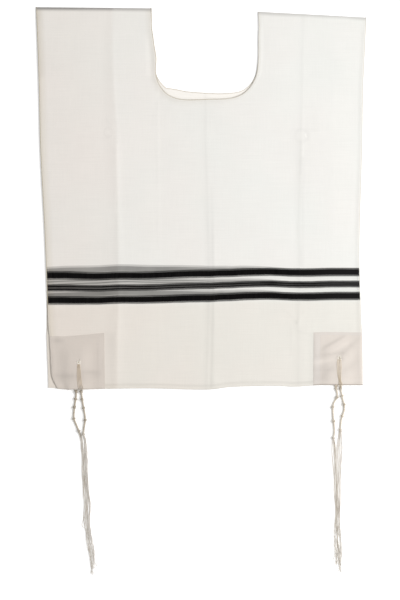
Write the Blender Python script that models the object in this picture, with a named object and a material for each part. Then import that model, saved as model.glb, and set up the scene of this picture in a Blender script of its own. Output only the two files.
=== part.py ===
# Tallit katan: a four-cornered undergarment of thin wool, laid flat with its front panel up.
# One length of cloth is folded at the shoulders, with a neck hole cut across the fold.
# Each of its four corners has a sewn-on square, an eyelet and a knotted tassel of strings.
# X runs across the garment, +Y towards the shoulders, +Z up from the surface it lies on.
# Sizes are in millimetres until the points are written to a mesh, which is in metres.

import bisect
import math

import bpy
from mathutils import Vector

MM = 0.001
SHARP_ANGLE = math.radians(60)

# Cloth walls and the gaps between layers
WALL = 1.0
SEAM_GAP = 0.3
PANEL_GAP = 0.8
HEM_WIDTH = 5.0
HEM_STEP = 1.2
HEM_RAISE = 0.4
FRONT_BASE = WALL + PANEL_GAP
FOLD_RADIUS = WALL + PANEL_GAP / 2
FOLD_STEPS = 4

# Strings, cords and knots of the tassels
STRING = 1.0
CORD_RADIUS = 2.1
CORD_SIDES = 8
KNOT_RADIUS = 3.2
KNOT_HALF_LENGTH = 3.0
KNOT_SECTIONS = (-1.0, -0.55, 0.0, 0.55, 1.0)
EYELET_RADIUS = 3.0
EYELET_SIDES = 12
EYELET_HEIGHT = 47.5
POST_RADIUS = 1.7
STRING_SIDES = 4
STRING_PITCH = 1.4
STRINGS_IN_ROW = 4
WINDINGS = (7, 8, 11, 13)

# Lifts of the panels over what lies under them at the corners
BACK_PATCH_LIFT = WALL + SEAM_GAP
FRONT_PATCH_LIFT = BACK_PATCH_LIFT + SEAM_GAP - PANEL_GAP
BACK_LANE_LIFT = STRING + 2 * SEAM_GAP
FRONT_LANE_LIFT = BACK_LANE_LIFT + STRING + SEAM_GAP

# Side edges of both panels at a height, from the hem up to the shoulders
EDGE_COLUMNS = ("height", "front_left", "front_right", "back_left", "back_right")
EDGES = [
    (-172.0, -250.5, 281.4, -266.4, 277.0),
    (-162.0, -255.7, 281.4, -266.7, 277.0),
    (-150.0, -260.9, 281.4, -267.1, 277.0),
    (-123.0, -262.7, 281.3, -268.0, 276.9),
    (-80.0, -264.7, 280.6, -269.7, 276.6),
    (-60.0, -266.5, 279.4, -269.7, 276.4),
    (-10.0, -268.7, 277.4, -269.4, 276.0),
    (22.0, -269.9, 276.4, -269.9, 275.9),
    (57.0, -271.1, 275.7, -271.1, 275.7),
    (113.0, -273.4, 276.5, -273.4, 276.5),
    (246.0, -280.4, 280.6, -280.4, 280.6),
    (352.0, -282.8, 282.1, -282.8, 282.1),
    (403.0, -284.4, 284.4, -284.4, 284.4),
    (495.0, -287.7, 289.0, -287.7, 289.0),
]
# Where the inner lines of both panels are counted from at the hem
SIDE_AT_HEM = {"left": -262.0, "right": 281.4}

# Bottom hem of the front, and the shoulder fold: x, y
HEM_LINE = [
    (-262.0, -170.6), (-230.0, -172.0), (-165.0, -170.6), (-90.0, -169.8), (12.0, -172.0),
    (55.0, -167.4), (130.0, -165.6), (165.0, -167.0), (212.0, -164.0), (282.0, -164.4),
]
FOLD_LINE = [(-288.0, 495.0), (-87.5, 492.4), (100.8, 487.3), (288.0, 475.0)]
BACK_HEM_SHORT = 1.6

# Neck hole: a superellipse in each panel, whose lower edge may stand higher on one side
NECK_CENTRE = 6.6
NECK_LEAN = 3.0
NECK_HALF_WIDTH = 93.8
NECK_POWER = {"left": 4.4, "right": 4.0}
NECK_TOP = 490.0
NECK_BOTTOM = {"front": (333.8, 333.8), "back": (351.0, 341.5)}
NECK_CORNER = 0.9

# Lines that run from the hem up to the shoulders, counted from each side edge.
# The name, the distance in at the hem and at the neck's height, and the front's rise there.
LEFT_LINES = [
    ("edge", 0.0, 0.0, 0.2),
    ("hem", HEM_WIDTH, HEM_WIDTH, 0.2),
    ("foot", HEM_WIDTH + HEM_STEP, HEM_WIDTH + HEM_STEP, 0.2),
    ("lane_a", 36.0, 37.0, 0.8),
    ("lane_b", 45.5, 47.0, 1.0),
    ("lane_c", 55.0, 57.0, 1.2),
    ("patch_middle", 76.0, 82.0, 1.7),
    ("patch_edge", 94.5, 108.0, 2.1),
    ("crease", 116.0, 133.0, 2.6),
    ("strip_middle", 150.0, 164.0, 1.9),
]
RIGHT_LINES = [
    ("edge", 0.0, 0.0, 0.2),
    ("hem", HEM_WIDTH, HEM_WIDTH, 0.3),
    ("foot", HEM_WIDTH + HEM_STEP, HEM_WIDTH + HEM_STEP, 0.3),
    ("lane_c", 37.0, 36.0, 0.9),
    ("lane_b", 46.5, 45.0, 1.0),
    ("lane_a", 56.0, 54.0, 1.1),
    ("patch_middle", 70.0, 68.0, 0.9),
    ("patch_edge", 86.5, 84.0, 0.6),
    ("crease", 115.0, 104.0, 0.3),
    ("strip_middle", 146.0, 148.0, 1.2),
]
# Where the lines at the neck's corners and below its middle meet the hem, and the rise there
NECK_LINE_AT_HEM = {"left": -72.0, "middle": 17.0, "right": 98.0}
NECK_LINE_RISE = {"left": 1.2, "middle": 0.1, "right": 1.6}
NECK_CELLS = 12
NECK_CROWDING = 1.8

# Lines that run across, as heights above the hem, and how much of the rise shows there.
# The last three follow the neck's lower edge, as far below it as they are below the last.
CROSS_LINES = [
    ("hem_edge", 0.0, 0.5),
    ("hem", HEM_WIDTH, 0.5),
    ("foot", HEM_WIDTH + HEM_STEP, 0.5),
    ("knot_side", 24.0, 0.6),
    ("below_eyelet", 40.0, 0.7),
    ("above_eyelet", 56.0, 0.8),
    ("patch_middle", 74.0, 0.9),
    ("patch_top", 92.0, 1.0),
    ("patch_clear", 104.0, 1.0),
    ("band_low", 148.0, 0.85),
    ("band_top", 206.0, 0.95),
    ("waist", 258.0, 1.0),
    ("chest_low", 310.0, 0.9),
    ("chest", 362.0, 0.8),
    ("chest_high", 414.0, 0.9),
    ("below_neck", 462.0, 0.9),
    ("neck_foot", 514.8, 0.8),
    ("neck_hem", 516.0, 0.8),
    ("neck", 521.0, 0.8),
]
# Rows of the strips beside the neck, crowded where the neck's edge curves
STRIP_RISE = (0.8, 0.85, 0.9, 0.85, 0.7, 0.5, 0.3, 0.0)
STRIP_ROWS = len(STRIP_RISE) - 1
STRIP_CROWDING = 1.5
# Share of the lift over the strings that is left on the row above them
LANE_FADE = 0.4

# Each tassel: its panel, side and lane, its cord from the hem to the last knot, then its fall.
# Its strings hang from the last knot; the points are x and y on the surface.
TASSELS = {
    "tassel_back_left": {
        "panel": "back", "side": "left",
        "cord": [(-218.1, -177.0), (-218.4, -186.3), (-221.2, -205.5),
                 (-222.1, -223.0), (-218.1, -234.4), (-213.3, -245.8)],
        "fall": [(-213.3, -245.8), (-209.9, -275.0), (-207.4, -300.0), (-204.7, -336.0),
                 (-201.8, -377.0), (-199.6, -410.0), (-197.2, -445.0), (-194.6, -483.0)],
        "outward": -1,
    },
    "tassel_front_left": {
        "panel": "front", "side": "left",
        "cord": [(-209.1, -177.0), (-207.6, -190.8), (-204.4, -209.0),
                 (-202.3, -224.8), (-204.1, -238.8), (-205.6, -251.0)],
        "fall": [(-205.6, -251.0), (-203.9, -275.0), (-201.5, -300.0), (-198.9, -336.0),
                 (-196.0, -377.0), (-193.8, -410.0), (-191.3, -445.0), (-188.4, -495.0)],
        "outward": 1,
    },
    "tassel_back_right": {
        "panel": "back", "side": "right",
        "cord": [(236.2, -171.4), (238.6, -184.5), (231.4, -199.6),
                 (231.2, -218.0), (233.6, -244.0), (231.9, -258.0)],
        "fall": [(231.9, -258.0), (230.2, -275.0), (231.2, -300.0), (234.4, -336.0),
                 (236.9, -373.0), (237.3, -429.0), (237.0, -457.0), (235.6, -481.0)],
        "outward": -1,
    },
    "tassel_front_right": {
        "panel": "front", "side": "right",
        "cord": [(244.3, -171.4), (247.5, -187.2), (251.0, -205.5),
                 (245.9, -224.8), (244.7, -233.5), (244.1, -244.0)],
        "fall": [(244.1, -244.0), (242.6, -268.0), (241.4, -300.0), (241.9, -336.0),
                 (243.0, -373.0), (243.5, -429.0), (244.1, -457.0), (245.0, -489.0)],
        "outward": 1,
    },
}
# Strings of a tassel, in two layers and ranked from its inner side out. The columns are layer,
# rank, where the string ends as a share of the fall, and how far it drifts outward at the tip.
STRINGS = [
    (0, 0, 0.95, 0.0),
    (0, 1, 1.00, 0.5),
    (0, 2, 0.97, 1.4),
    (0, 3, 0.91, 3.2),
    (1, 0, 0.97, 0.0),
    (1, 1, 0.93, 0.3),
    (1, 2, 0.99, 0.9),
    (1, 3, 0.95, 2.0),
]
DRIFT_FROM = 0.7
FALL_STEP = 14.0
CORD_STEP = 0.5
# Strings from an eyelet down to the hem: how far along, and how far they have spread
LOOP_SHAPE = ((0.0, 0.45), (0.3, 0.95), (0.65, 1.0), (1.0, 1.0))

COLOURS = {
    "wool": (0.84, 0.81, 0.76),
    "patch": (0.74, 0.69, 0.64),
    "string": (0.86, 0.80, 0.70),
}


def lookup(table, x, column=1):
    """Value of a column at x, on a smooth curve through the table's rows."""
    keys = [row[0] for row in table]
    if x <= keys[0]:
        return table[0][column]
    if x >= keys[-1]:
        return table[-1][column]
    k = bisect.bisect_right(keys, x) - 1

    def slope(i):
        low, high = max(i - 1, 0), min(i + 1, len(table) - 1)
        return (table[high][column] - table[low][column]) / (keys[high] - keys[low])

    span = keys[k + 1] - keys[k]
    t = (x - keys[k]) / span
    start, end = table[k][column], table[k + 1][column]
    return (
        start * (1 + 2 * t) * (1 - t) ** 2
        + end * t * t * (3 - 2 * t)
        + slope(k) * span * t * (1 - t) ** 2
        - slope(k + 1) * span * t * t * (1 - t)
    )


def mix(a, b, t):
    return a + (b - a) * t


def sign_of(side):
    return 1 if side == "right" else -1


def edge(panel, side, y):
    """X of a panel's side edge at a height."""
    return lookup(EDGES, y, EDGE_COLUMNS.index(f"{panel}_{side}"))


def hem_height(panel, x):
    return lookup(HEM_LINE, x) + (BACK_HEM_SHORT if panel == "back" else 0.0)


def fold_height(x):
    return lookup(FOLD_LINE, x) - FOLD_RADIUS


def neck_depth(panel, share):
    """Depth of the neck's superellipse, which passes from its left value to its right one."""
    t = (share + 1) / 2
    bottom = mix(*NECK_BOTTOM[panel], t * t * (3 - 2 * t))
    return NECK_TOP - bottom


def neck_centre(down):
    return NECK_CENTRE + NECK_LEAN * (1 - (1 - down) ** 2)


def neck_side(panel, side, y):
    """X of the neck's edge at a height, on the left or the right."""
    power = NECK_POWER[side]
    sign = sign_of(side)
    down = min(max((NECK_TOP - y) / neck_depth(panel, sign * NECK_CORNER), 0.0), 1.0)
    return neck_centre(down) + sign * NECK_HALF_WIDTH * (1 - down ** power) ** (1 / power)


def neck_floor(panel, share):
    """Point of the neck's lower edge, for a share of its half width from -1 to 1."""
    power = NECK_POWER["right" if share > 0 else "left"]
    down = (1 - abs(share) ** power) ** (1 / power)
    x = neck_centre(down) + share * NECK_HALF_WIDTH
    return x, NECK_TOP - down * neck_depth(panel, share)


class Line:
    """One line from the hem to the neck's height, and on to the fold where it is in a strip.

    kind is edge for what follows the side edge, inner for the lines further in, beside_neck for
    those that follow the neck's side, and below_neck for those that end at its lower edge."""

    def __init__(self, name, side, kind, at_hem, at_neck, rise):
        self.name = name
        self.side = side
        self.kind = kind
        self.at_hem = at_hem
        self.at_neck = at_neck
        self.rise = rise


def strip_lines(side, table):
    """Lines of the strip beside the neck, from the side edge in to the neck's hem."""
    lines = []
    for name, at_hem, at_neck, rise in table:
        kind = "edge" if name in ("edge", "hem", "foot") else "inner"
        lines.append(Line(name, side, kind, at_hem, at_neck, rise))
    for name, inset in (("neck_foot", HEM_WIDTH + HEM_STEP), ("neck_hem", HEM_WIDTH)):
        lines.append(Line(name, side, "beside_neck", inset, inset, NECK_LINE_RISE[side]))
    return lines


def neck_lines():
    """Lines that end at the neck's lower edge, closer together towards its corners."""
    lines = []
    for k in range(NECK_CELLS + 1):
        t = 2 * k / NECK_CELLS - 1
        away = 1 - (1 - abs(t)) ** NECK_CROWDING
        outer = "left" if t < 0 else "right"
        at_hem = mix(NECK_LINE_AT_HEM["middle"], NECK_LINE_AT_HEM[outer], abs(t))
        rise = mix(NECK_LINE_RISE["middle"], NECK_LINE_RISE[outer], abs(t))
        name = {0: "neck_left", NECK_CELLS: "neck_right"}.get(k, "neck")
        share = math.copysign(away * NECK_CORNER, t)
        lines.append(Line(name, outer, "below_neck", at_hem, share, rise))
    return lines


LINES = strip_lines("left", LEFT_LINES) + neck_lines() + strip_lines("right", RIGHT_LINES)[::-1]
LINE_NAMES = [line.name for line in LINES]
NECK_LEFT = LINE_NAMES.index("neck_left")
NECK_RIGHT = LINE_NAMES.index("neck_right")
ROW_NAMES = [name for name, _, _ in CROSS_LINES]
NECK_ROW = ROW_NAMES.index("neck")
TOP_ROW = NECK_ROW + STRIP_ROWS
CLOTH_ROWS = 2 * TOP_ROW + FOLD_STEPS
FULL_HEIGHT = CROSS_LINES[NECK_ROW][1]


def point_at_neck_height(panel, line):
    """Where a line meets the neck's lower edge, or the same height beside it."""
    sign = sign_of(line.side)
    if line.kind == "below_neck":
        return neck_floor(panel, line.at_neck)
    corner_x, corner_y = neck_floor(panel, sign * NECK_CORNER)
    if line.kind == "beside_neck":
        return corner_x + sign * line.at_neck, corner_y
    return edge(panel, line.side, corner_y) - sign * line.at_neck, corner_y


def x_at_hem(panel, line):
    sign = sign_of(line.side)
    if line.kind == "below_neck":
        return line.at_hem
    if line.kind == "beside_neck":
        return NECK_LINE_AT_HEM[line.side] + sign * line.at_hem
    if line.kind == "inner":
        return SIDE_AT_HEM[line.side] - sign * line.at_hem
    return edge(panel, line.side, HEM_LINE[0][1]) - sign * line.at_hem


def point_below_neck(panel, line, j):
    """X and y of the crossing of a line with a row between the hem and the neck."""
    x_neck, y_neck = point_at_neck_height(panel, line)
    x_hem = x_at_hem(panel, line)
    y_hem = hem_height(panel, x_hem)
    height = CROSS_LINES[j][1]
    if j < ROW_NAMES.index("neck_foot"):
        y = y_hem + height
    else:
        y = y_neck - (FULL_HEIGHT - height)
    if line.kind == "edge":
        return edge(panel, line.side, y) - sign_of(line.side) * line.at_hem, y
    return mix(x_hem, x_neck, (y - y_hem) / (y_neck - y_hem)), y


def point_beside_neck(panel, line, j):
    """X and y of the crossing of a strip's line with a row between the neck and the fold."""
    side, sign = line.side, sign_of(line.side)
    share = ((j - NECK_ROW) / STRIP_ROWS) ** STRIP_CROWDING
    x_low, y_low = point_at_neck_height(panel, line)
    corner_x = neck_floor(panel, sign * NECK_CORNER)[0]
    outer_low = edge(panel, side, y_low)
    across = (x_low - outer_low) / (corner_x - outer_low)
    y_outer = mix(y_low, fold_height(edge(panel, side, NECK_TOP)), share)
    y_inner = mix(y_low, fold_height(neck_side(panel, side, NECK_TOP)), share)
    y = mix(y_outer, y_inner, across)
    if line.kind == "below_neck":
        return neck_side(panel, side, y), y
    if line.kind == "beside_neck":
        return neck_side(panel, side, y) + sign * line.at_neck, y
    return edge(panel, side, y) - sign * line.at_neck, y


def plan_point(panel, i, j):
    """X and y of the crossing of line i with row j."""
    if j <= NECK_ROW:
        return point_below_neck(panel, LINES[i], j)
    return point_beside_neck(panel, LINES[i], j)


def in_corner(i, j, reach=0):
    """True in the squares' corners, and up to reach lines past them."""
    left = LINE_NAMES.index("patch_edge") + reach
    right = len(LINES) - 1 - LINE_NAMES[::-1].index("patch_edge") - reach
    return j <= ROW_NAMES.index("patch_top") + reach and (i <= left or i >= right)


def lane_share(i, j):
    """How much of the full lift over the strings a crossing has."""
    if not LINES[i].name.startswith("lane"):
        return 0.0
    if j <= ROW_NAMES.index("above_eyelet"):
        return 1.0
    return LANE_FADE if j == ROW_NAMES.index("patch_middle") else 0.0


def underside(panel, i, j):
    """Height of a panel's lower surface at a crossing."""
    if panel == "back":
        lift = BACK_PATCH_LIFT if in_corner(i, j) else 0.0
        return lift + BACK_LANE_LIFT * lane_share(i, j)
    lift = FRONT_PATCH_LIFT if in_corner(i, j, reach=1) else 0.0
    if in_corner(i, j):
        rise = 0.0
    elif j <= NECK_ROW:
        rise = LINES[i].rise * CROSS_LINES[j][2]
    else:
        rise = LINES[i].rise * STRIP_RISE[j - NECK_ROW]
    return FRONT_BASE + lift + rise + FRONT_LANE_LIFT * lane_share(i, j)


def on_hem(i, j):
    """True where the cloth's turned edge makes it thicker."""
    name = LINES[i].name
    at_neck_side = name in ("neck_hem", "neck_left", "neck_right") and j >= NECK_ROW - 1
    below_neck = NECK_LEFT - 1 <= i <= NECK_RIGHT + 1 and NECK_ROW - 1 <= j <= NECK_ROW
    return name in ("edge", "hem") or j <= 1 or at_neck_side or below_neck


def wall_points(panel, i, j):
    """Outer and inner points of the panel's wall at a crossing."""
    x, y = plan_point(panel, i, j)
    low = underside(panel, i, j)
    if panel == "back":
        return Vector((x, y, low)), Vector((x, y, low + WALL))
    raise_by = HEM_RAISE * (0.0 if j == TOP_ROW else 1.0) if on_hem(i, j) else 0.0
    return Vector((x, y, low + WALL + raise_by)), Vector((x, y, low))


def fold_points(i, k):
    """Outer and inner points of the shoulder fold, k steps round from the front to the back."""
    x, y = plan_point("front", i, TOP_ROW)
    turn = math.pi / 2 - math.pi * k / FOLD_STEPS
    centre = Vector((x, y, FOLD_RADIUS))
    way = Vector((0, math.cos(turn), math.sin(turn)))
    return centre + way * FOLD_RADIUS, centre + way * (PANEL_GAP / 2)


def new_object(name, points, triangles, material):
    """An object of these points, in millimetres, placed in metres."""
    mesh = bpy.data.meshes.new(name)
    mesh.from_pydata([p * MM for p in points], [], triangles)
    mesh.validate()
    mesh.materials.append(material)
    made = bpy.data.objects.new(name, mesh)
    bpy.context.scene.collection.objects.link(made)
    return made


def wall(name, cells, points_at, material):
    """A closed wall: an outer and an inner skin over the same cells, joined all round.

    cells holds four keys each, counter-clockwise seen from outside.
    points_at gives the outer and the inner point of a key."""
    keys = sorted({key for cell in cells for key in cell})
    number = {key: k for k, key in enumerate(keys)}
    pairs = [points_at(*key) for key in keys]
    points = [outer for outer, _ in pairs] + [inner for _, inner in pairs]
    inside = len(keys)
    triangles, sides = [], set()
    for cell in cells:
        a, b, c, d = (number[key] for key in cell)
        triangles += [(a, b, c), (a, c, d)]
        triangles += [(inside + c, inside + b, inside + a), (inside + d, inside + c, inside + a)]
        sides.update(((a, b), (b, c), (c, d), (d, a)))
    for a, b in sorted(sides):
        if (b, a) not in sides:
            triangles += [(b, a, inside + a), (b, inside + a, inside + b)]
    return new_object(name, points, triangles, material)


def cloth_points(i, s):
    """Outer and inner point of the cloth on line i, s rows on from the front hem."""
    if s <= TOP_ROW:
        return wall_points("front", i, s)
    if s < TOP_ROW + FOLD_STEPS:
        return fold_points(i, s - TOP_ROW)
    return wall_points("back", i, CLOTH_ROWS - s)


def garment_cloth(material):
    """The whole cloth, from the front hem over the shoulders to the back hem.

    The neck hole leaves out the cells between the strips, above the neck's lower edges."""
    cells = []
    for i in range(len(LINES) - 1):
        for s in range(CLOTH_ROWS):
            in_strip = i < NECK_LEFT or i >= NECK_RIGHT
            if in_strip or s < NECK_ROW or s >= CLOTH_ROWS - NECK_ROW:
                cells.append(((i, s), (i + 1, s), (i + 1, s + 1), (i, s + 1)))
    return wall("garment_cloth", cells, cloth_points, material)


def lines_named(side, names):
    """Numbers of a side's lines that have one of these names."""
    return [k for k, line in enumerate(LINES) if line.side == side and line.name in names]


def corner_lines(side):
    """Numbers of the lines that a corner's square spans, from the side edge in."""
    reach = LINE_NAMES.index("patch_edge") + 1
    return lines_named(side, LINE_NAMES[:reach])


def corner_square(panel, side, material):
    """The square sewn on a corner: the panel's own points, moved out."""
    rows = range(ROW_NAMES.index("patch_top") + 1)
    columns = corner_lines(side)
    out = Vector((0, 0, 1 if panel == "front" else -1))

    def square_points(i, j):
        base = wall_points(panel, i, j)[0]
        return base + out * (SEAM_GAP + WALL), base + out * SEAM_GAP

    cells = []
    for i in columns[:-1]:
        for j in rows[:-1]:
            cell = ((i, j), (i + 1, j), (i + 1, j + 1), (i, j + 1))
            cells.append(cell if panel == "front" else cell[::-1])
    return wall(f"corner_square_{panel}_{side}", cells, square_points, material)


def eyelet_centre(panel, side):
    """X and y of a corner's eyelet, between the two lines of its lane."""
    lane = ("lane_b", "lane_c") if panel == "front" else ("lane_a", "lane_b")
    row = ROW_NAMES.index("below_eyelet")
    low, high = CROSS_LINES[row][1], CROSS_LINES[row + 1][1]
    share = (EYELET_HEIGHT - low) / (high - low)
    corners = [plan_point("front", k, row + up) for up in (0, 1) for k in lines_named(side, lane)]
    across = [Vector(corners[n]).lerp(Vector(corners[n + 1]), 0.5) for n in (0, 2)]
    return across[0].lerp(across[1], share)


def tube(name, centres, radii, sides, material):
    """A closed tube with flat ends, its ring carried along without twisting."""
    points, triangles = [], []
    across = None
    for k, centre in enumerate(centres):
        ahead = centres[min(k + 1, len(centres) - 1)]
        behind = centres[max(k - 1, 0)]
        way = (ahead - behind).normalized()
        if across is None:
            across = way.orthogonal()
        across = (across - way * across.dot(way)).normalized()
        other = way.cross(across)
        for n in range(sides):
            turn = 2 * math.pi * n / sides
            points.append(centre + radii[k] * (across * math.cos(turn) + other * math.sin(turn)))
    for k in range(len(centres) - 1):
        for n in range(sides):
            a, b = k * sides + n, k * sides + (n + 1) % sides
            triangles += [(a, b, b + sides), (a, b + sides, a + sides)]
    last = (len(centres) - 1) * sides
    for n in range(1, sides - 1):
        triangles += [(0, n + 1, n), (last, last + n, last + n + 1)]
    made = new_object(name, points, triangles, material)
    made.data.shade_smooth()
    made.data.set_sharp_from_angle(angle=SHARP_ANGLE)
    return made


def smooth_path(points, step):
    """Points at an even step along a smooth curve through the given ones, and its length."""
    path = [Vector(p) for p in points]
    parts = 16
    fine = []
    for k in range(len(path) - 1):
        before, after = path[max(k - 1, 0)], path[min(k + 2, len(path) - 1)]
        a, b = path[k], path[k + 1]
        for n in range(parts):
            t = n / parts
            fine.append(0.5 * (2 * a + (b - before) * t
                               + (2 * before - 5 * a + 4 * b - after) * t * t
                               + (3 * a - before - 3 * b + after) * t ** 3))
    fine.append(path[-1])
    lengths = [0.0]
    for a, b in zip(fine, fine[1:]):
        lengths.append(lengths[-1] + (b - a).length)
    count = max(2, round(lengths[-1] / step))
    even = []
    for n in range(count + 1):
        want = lengths[-1] * n / count
        k = min(bisect.bisect_right(lengths, want) - 1, len(fine) - 2)
        part = (want - lengths[k]) / (lengths[k + 1] - lengths[k])
        even.append(fine[k].lerp(fine[k + 1], part))
    return even, lengths[-1]


def knot_places():
    """Where the five knots are, as shares of the cord's length."""
    total, places = 0, [0.0]
    for turns in WINDINGS:
        total += turns
        places.append(total / sum(WINDINGS))
    return places


def point_along(plan, length, station):
    """Point of an even path at a distance along it, or straight on past either end."""
    place = station / length * (len(plan) - 1)
    k = min(max(int(place), 0), len(plan) - 2)
    return plan[k] + (plan[k + 1] - plan[k]) * (place - k)


def cord(name, route, material):
    """The wound cord with its five knots, lying just clear of the surface."""
    plan, length = smooth_path(route, CORD_STEP)
    knots = [share * length for share in knot_places()]
    stations = {(start + end) / 2 for start, end in zip(knots, knots[1:])}
    for place in knots:
        stations.update(place + KNOT_HALF_LENGTH * part for part in KNOT_SECTIONS)
    centres, radii = [], []
    for station in sorted(stations):
        nearest = min(abs(station - place) for place in knots)
        bulge = max(0.0, 1 - (nearest / KNOT_HALF_LENGTH) ** 2)
        radius = mix(CORD_RADIUS, KNOT_RADIUS, math.sqrt(bulge))
        flat = point_along(plan, length, station)
        centres.append(Vector((flat.x, flat.y, SEAM_GAP + radius)))
        radii.append(radius)
    return tube(name, centres, radii, CORD_SIDES, material)


def string_levels(panel):
    """Heights of the strings' centres outside and inside a panel, at its lanes."""
    back_top = BACK_PATCH_LIFT + BACK_LANE_LIFT + WALL
    inside = back_top + SEAM_GAP + STRING / 2
    if panel == "back":
        return SEAM_GAP + STRING / 2, inside
    front_top = FRONT_BASE + FRONT_PATCH_LIFT + FRONT_LANE_LIFT + WALL
    return front_top + SEAM_GAP + WALL + SEAM_GAP + STRING / 2, inside


def loop_strings(name, panel, side, knot, material):
    """The strings' runs from the eyelet to the first knot, outside the panel and inside it."""
    eyelet = eyelet_centre(panel, side)
    outside, inside = string_levels(panel)
    knot_level = KNOT_RADIUS + SEAM_GAP
    hem = Vector((knot.x, hem_height("front", knot.x) - STRING))
    made = []
    for label, level in (("outside", outside), ("inside", inside)):
        for n in range(STRINGS_IN_ROW):
            lateral = (n - (STRINGS_IN_ROW - 1) / 2) * (STRING + SEAM_GAP / 2)
            run = []
            for along, spread in LOOP_SHAPE:
                flat = eyelet.lerp(hem, along)
                run.append(Vector((flat.x + lateral * spread, flat.y, level)))
            run.append(Vector((knot.x + lateral * 0.6, knot.y + STRING, knot_level)))
            radii = [STRING / 2] * len(run)
            made.append(tube(f"{name}_{label}_{n}", run, radii, STRING_SIDES, material))
    reach = (STRING - SEAM_GAP) / 2
    ends = (min(outside, inside) - reach, max(outside, inside) + reach)
    post = [Vector((eyelet.x, eyelet.y, z)) for z in ends]
    made.append(tube(f"{name}_post", post, [POST_RADIUS] * 2, CORD_SIDES, material))
    return made


def hanging_strings(name, route, outward, material):
    """Eight strings in two layers, side by side, from the last knot to their own ends.

    outward is 1 where the strings drift to the right of their way at the tips, and -1 to the left."""
    plan, _ = smooth_path(route, FALL_STEP)
    made = []
    for n, (layer, rank, end, drift) in enumerate(STRINGS):
        lateral = (rank - (STRINGS_IN_ROW - 1) / 2) * STRING_PITCH
        level = SEAM_GAP + STRING / 2 + layer * STRING_PITCH
        last = (len(plan) - 1) * end
        centres = []
        for station in [*range(int(last) + 1), last]:
            k = min(int(station), len(plan) - 2)
            flat = plan[k].lerp(plan[k + 1], station - k)
            way = (plan[k + 1] - plan[k]).normalized()
            fan = max(0.0, station / (len(plan) - 1) - DRIFT_FROM) / (1 - DRIFT_FROM)
            opening = 0.75 if station == 0 else 1.0
            offset = outward * (lateral * opening + drift * fan * fan)
            height = level if station > 0 else mix(level, KNOT_RADIUS + SEAM_GAP, 0.5)
            centres.append(Vector((flat.x - way.y * offset, flat.y + way.x * offset, height)))
        radii = [STRING / 2] * (len(centres) - 1) + [STRING / 4]
        made.append(tube(f"{name}_string_{n}", centres, radii, STRING_SIDES, material))
    return made


def helper_collection(name, objects):
    """Keeps Boolean operands out of the model itself."""
    kept = bpy.data.collections.new(name)
    bpy.context.scene.collection.children.link(kept)
    for helper in objects:
        bpy.context.scene.collection.objects.unlink(helper)
        kept.objects.link(helper)
        helper.hide_render = True
        helper.display_type = "WIRE"
    return kept


def join_all(base, helpers):
    """Unites the helpers with the base object, which keeps its name."""
    union = base.modifiers.new("united", "BOOLEAN")
    union.operation = "UNION"
    union.solver = "EXACT"
    union.operand_type = "COLLECTION"
    union.collection = helper_collection(base.name + "_pieces", helpers)


def tassel(name, plan, material):
    """A corner's tassel: the loop through its eyelet, the knotted cord and eight strings."""
    made = cord(name, plan["cord"], material)
    first_knot = Vector(plan["cord"][0])
    helpers = loop_strings(name, plan["panel"], plan["side"], first_knot, material)
    helpers += hanging_strings(name, plan["fall"], plan["outward"], material)
    join_all(made, helpers)
    return made


def cut_eyelet(targets, panel, side, material):
    """Cuts a corner's eyelet through one panel and its square, and not the other panel."""
    centre = eyelet_centre(panel, side)
    outside, inside = string_levels(panel)
    beyond = outside - STRING if panel == "back" else outside + STRING
    name = f"eyelet_cutter_{panel}_{side}"
    rim = [Vector((centre.x, centre.y, z)) for z in sorted((beyond, inside))]
    cutter = tube(name, rim, [EYELET_RADIUS] * 2, EYELET_SIDES, material)
    helper_collection(name, [cutter])
    for target in targets:
        cut = target.modifiers.new(cutter.name, "BOOLEAN")
        cut.operation = "DIFFERENCE"
        cut.solver = "EXACT"
        cut.object = cutter


def clear_scene():
    for existing in list(bpy.data.objects):
        bpy.data.objects.remove(existing)


def cloth_material(name):
    """A plain matt finish in the piece's own colour."""
    material = bpy.data.materials.new(name)
    material.use_nodes = True
    shader = material.node_tree.nodes["Principled BSDF"]
    shader.inputs["Base Color"].default_value = (*COLOURS[name], 1.0)
    shader.inputs["Roughness"].default_value = 0.9
    shader.inputs["Metallic"].default_value = 0.0
    return material


def main():
    clear_scene()
    wool, patch, string = (cloth_material(name) for name in ("wool", "patch", "string"))
    cloth = garment_cloth(wool)
    for panel in ("front", "back"):
        for side in ("left", "right"):
            square = corner_square(panel, side, patch)
            cut_eyelet((cloth, square), panel, side, wool)
    for name, plan in TASSELS.items():
        tassel(name, plan, string)


main()
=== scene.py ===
# Tallit katan of thin wool, laid flat with its front panel up.
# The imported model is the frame; lengths here are in millimetres until a mesh is written.

import bisect
import math

import bpy
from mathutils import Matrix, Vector, kdtree, noise
from mathutils.bvhtree import BVHTree


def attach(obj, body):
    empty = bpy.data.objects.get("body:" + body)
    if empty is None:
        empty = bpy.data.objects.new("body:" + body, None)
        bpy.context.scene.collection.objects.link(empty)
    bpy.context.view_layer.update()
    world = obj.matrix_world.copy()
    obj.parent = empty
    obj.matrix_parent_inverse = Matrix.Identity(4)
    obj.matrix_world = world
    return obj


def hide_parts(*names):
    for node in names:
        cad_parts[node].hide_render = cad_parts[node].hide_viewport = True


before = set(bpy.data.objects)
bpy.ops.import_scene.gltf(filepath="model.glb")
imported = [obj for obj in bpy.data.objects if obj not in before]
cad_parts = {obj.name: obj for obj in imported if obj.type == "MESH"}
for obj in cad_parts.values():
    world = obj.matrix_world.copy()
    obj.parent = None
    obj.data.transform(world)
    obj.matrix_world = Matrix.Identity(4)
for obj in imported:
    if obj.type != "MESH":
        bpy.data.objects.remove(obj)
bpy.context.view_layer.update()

mm = 0.001
fullTurn = 2 * math.pi
facing = {"front": 1, "back": -1}       # the way each panel's outer side looks
corners = [(panel, side) for panel in facing for side in ("left", "right")]


# Small helpers

def mix(a, b, t):
    return a + (b - a) * t


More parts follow.
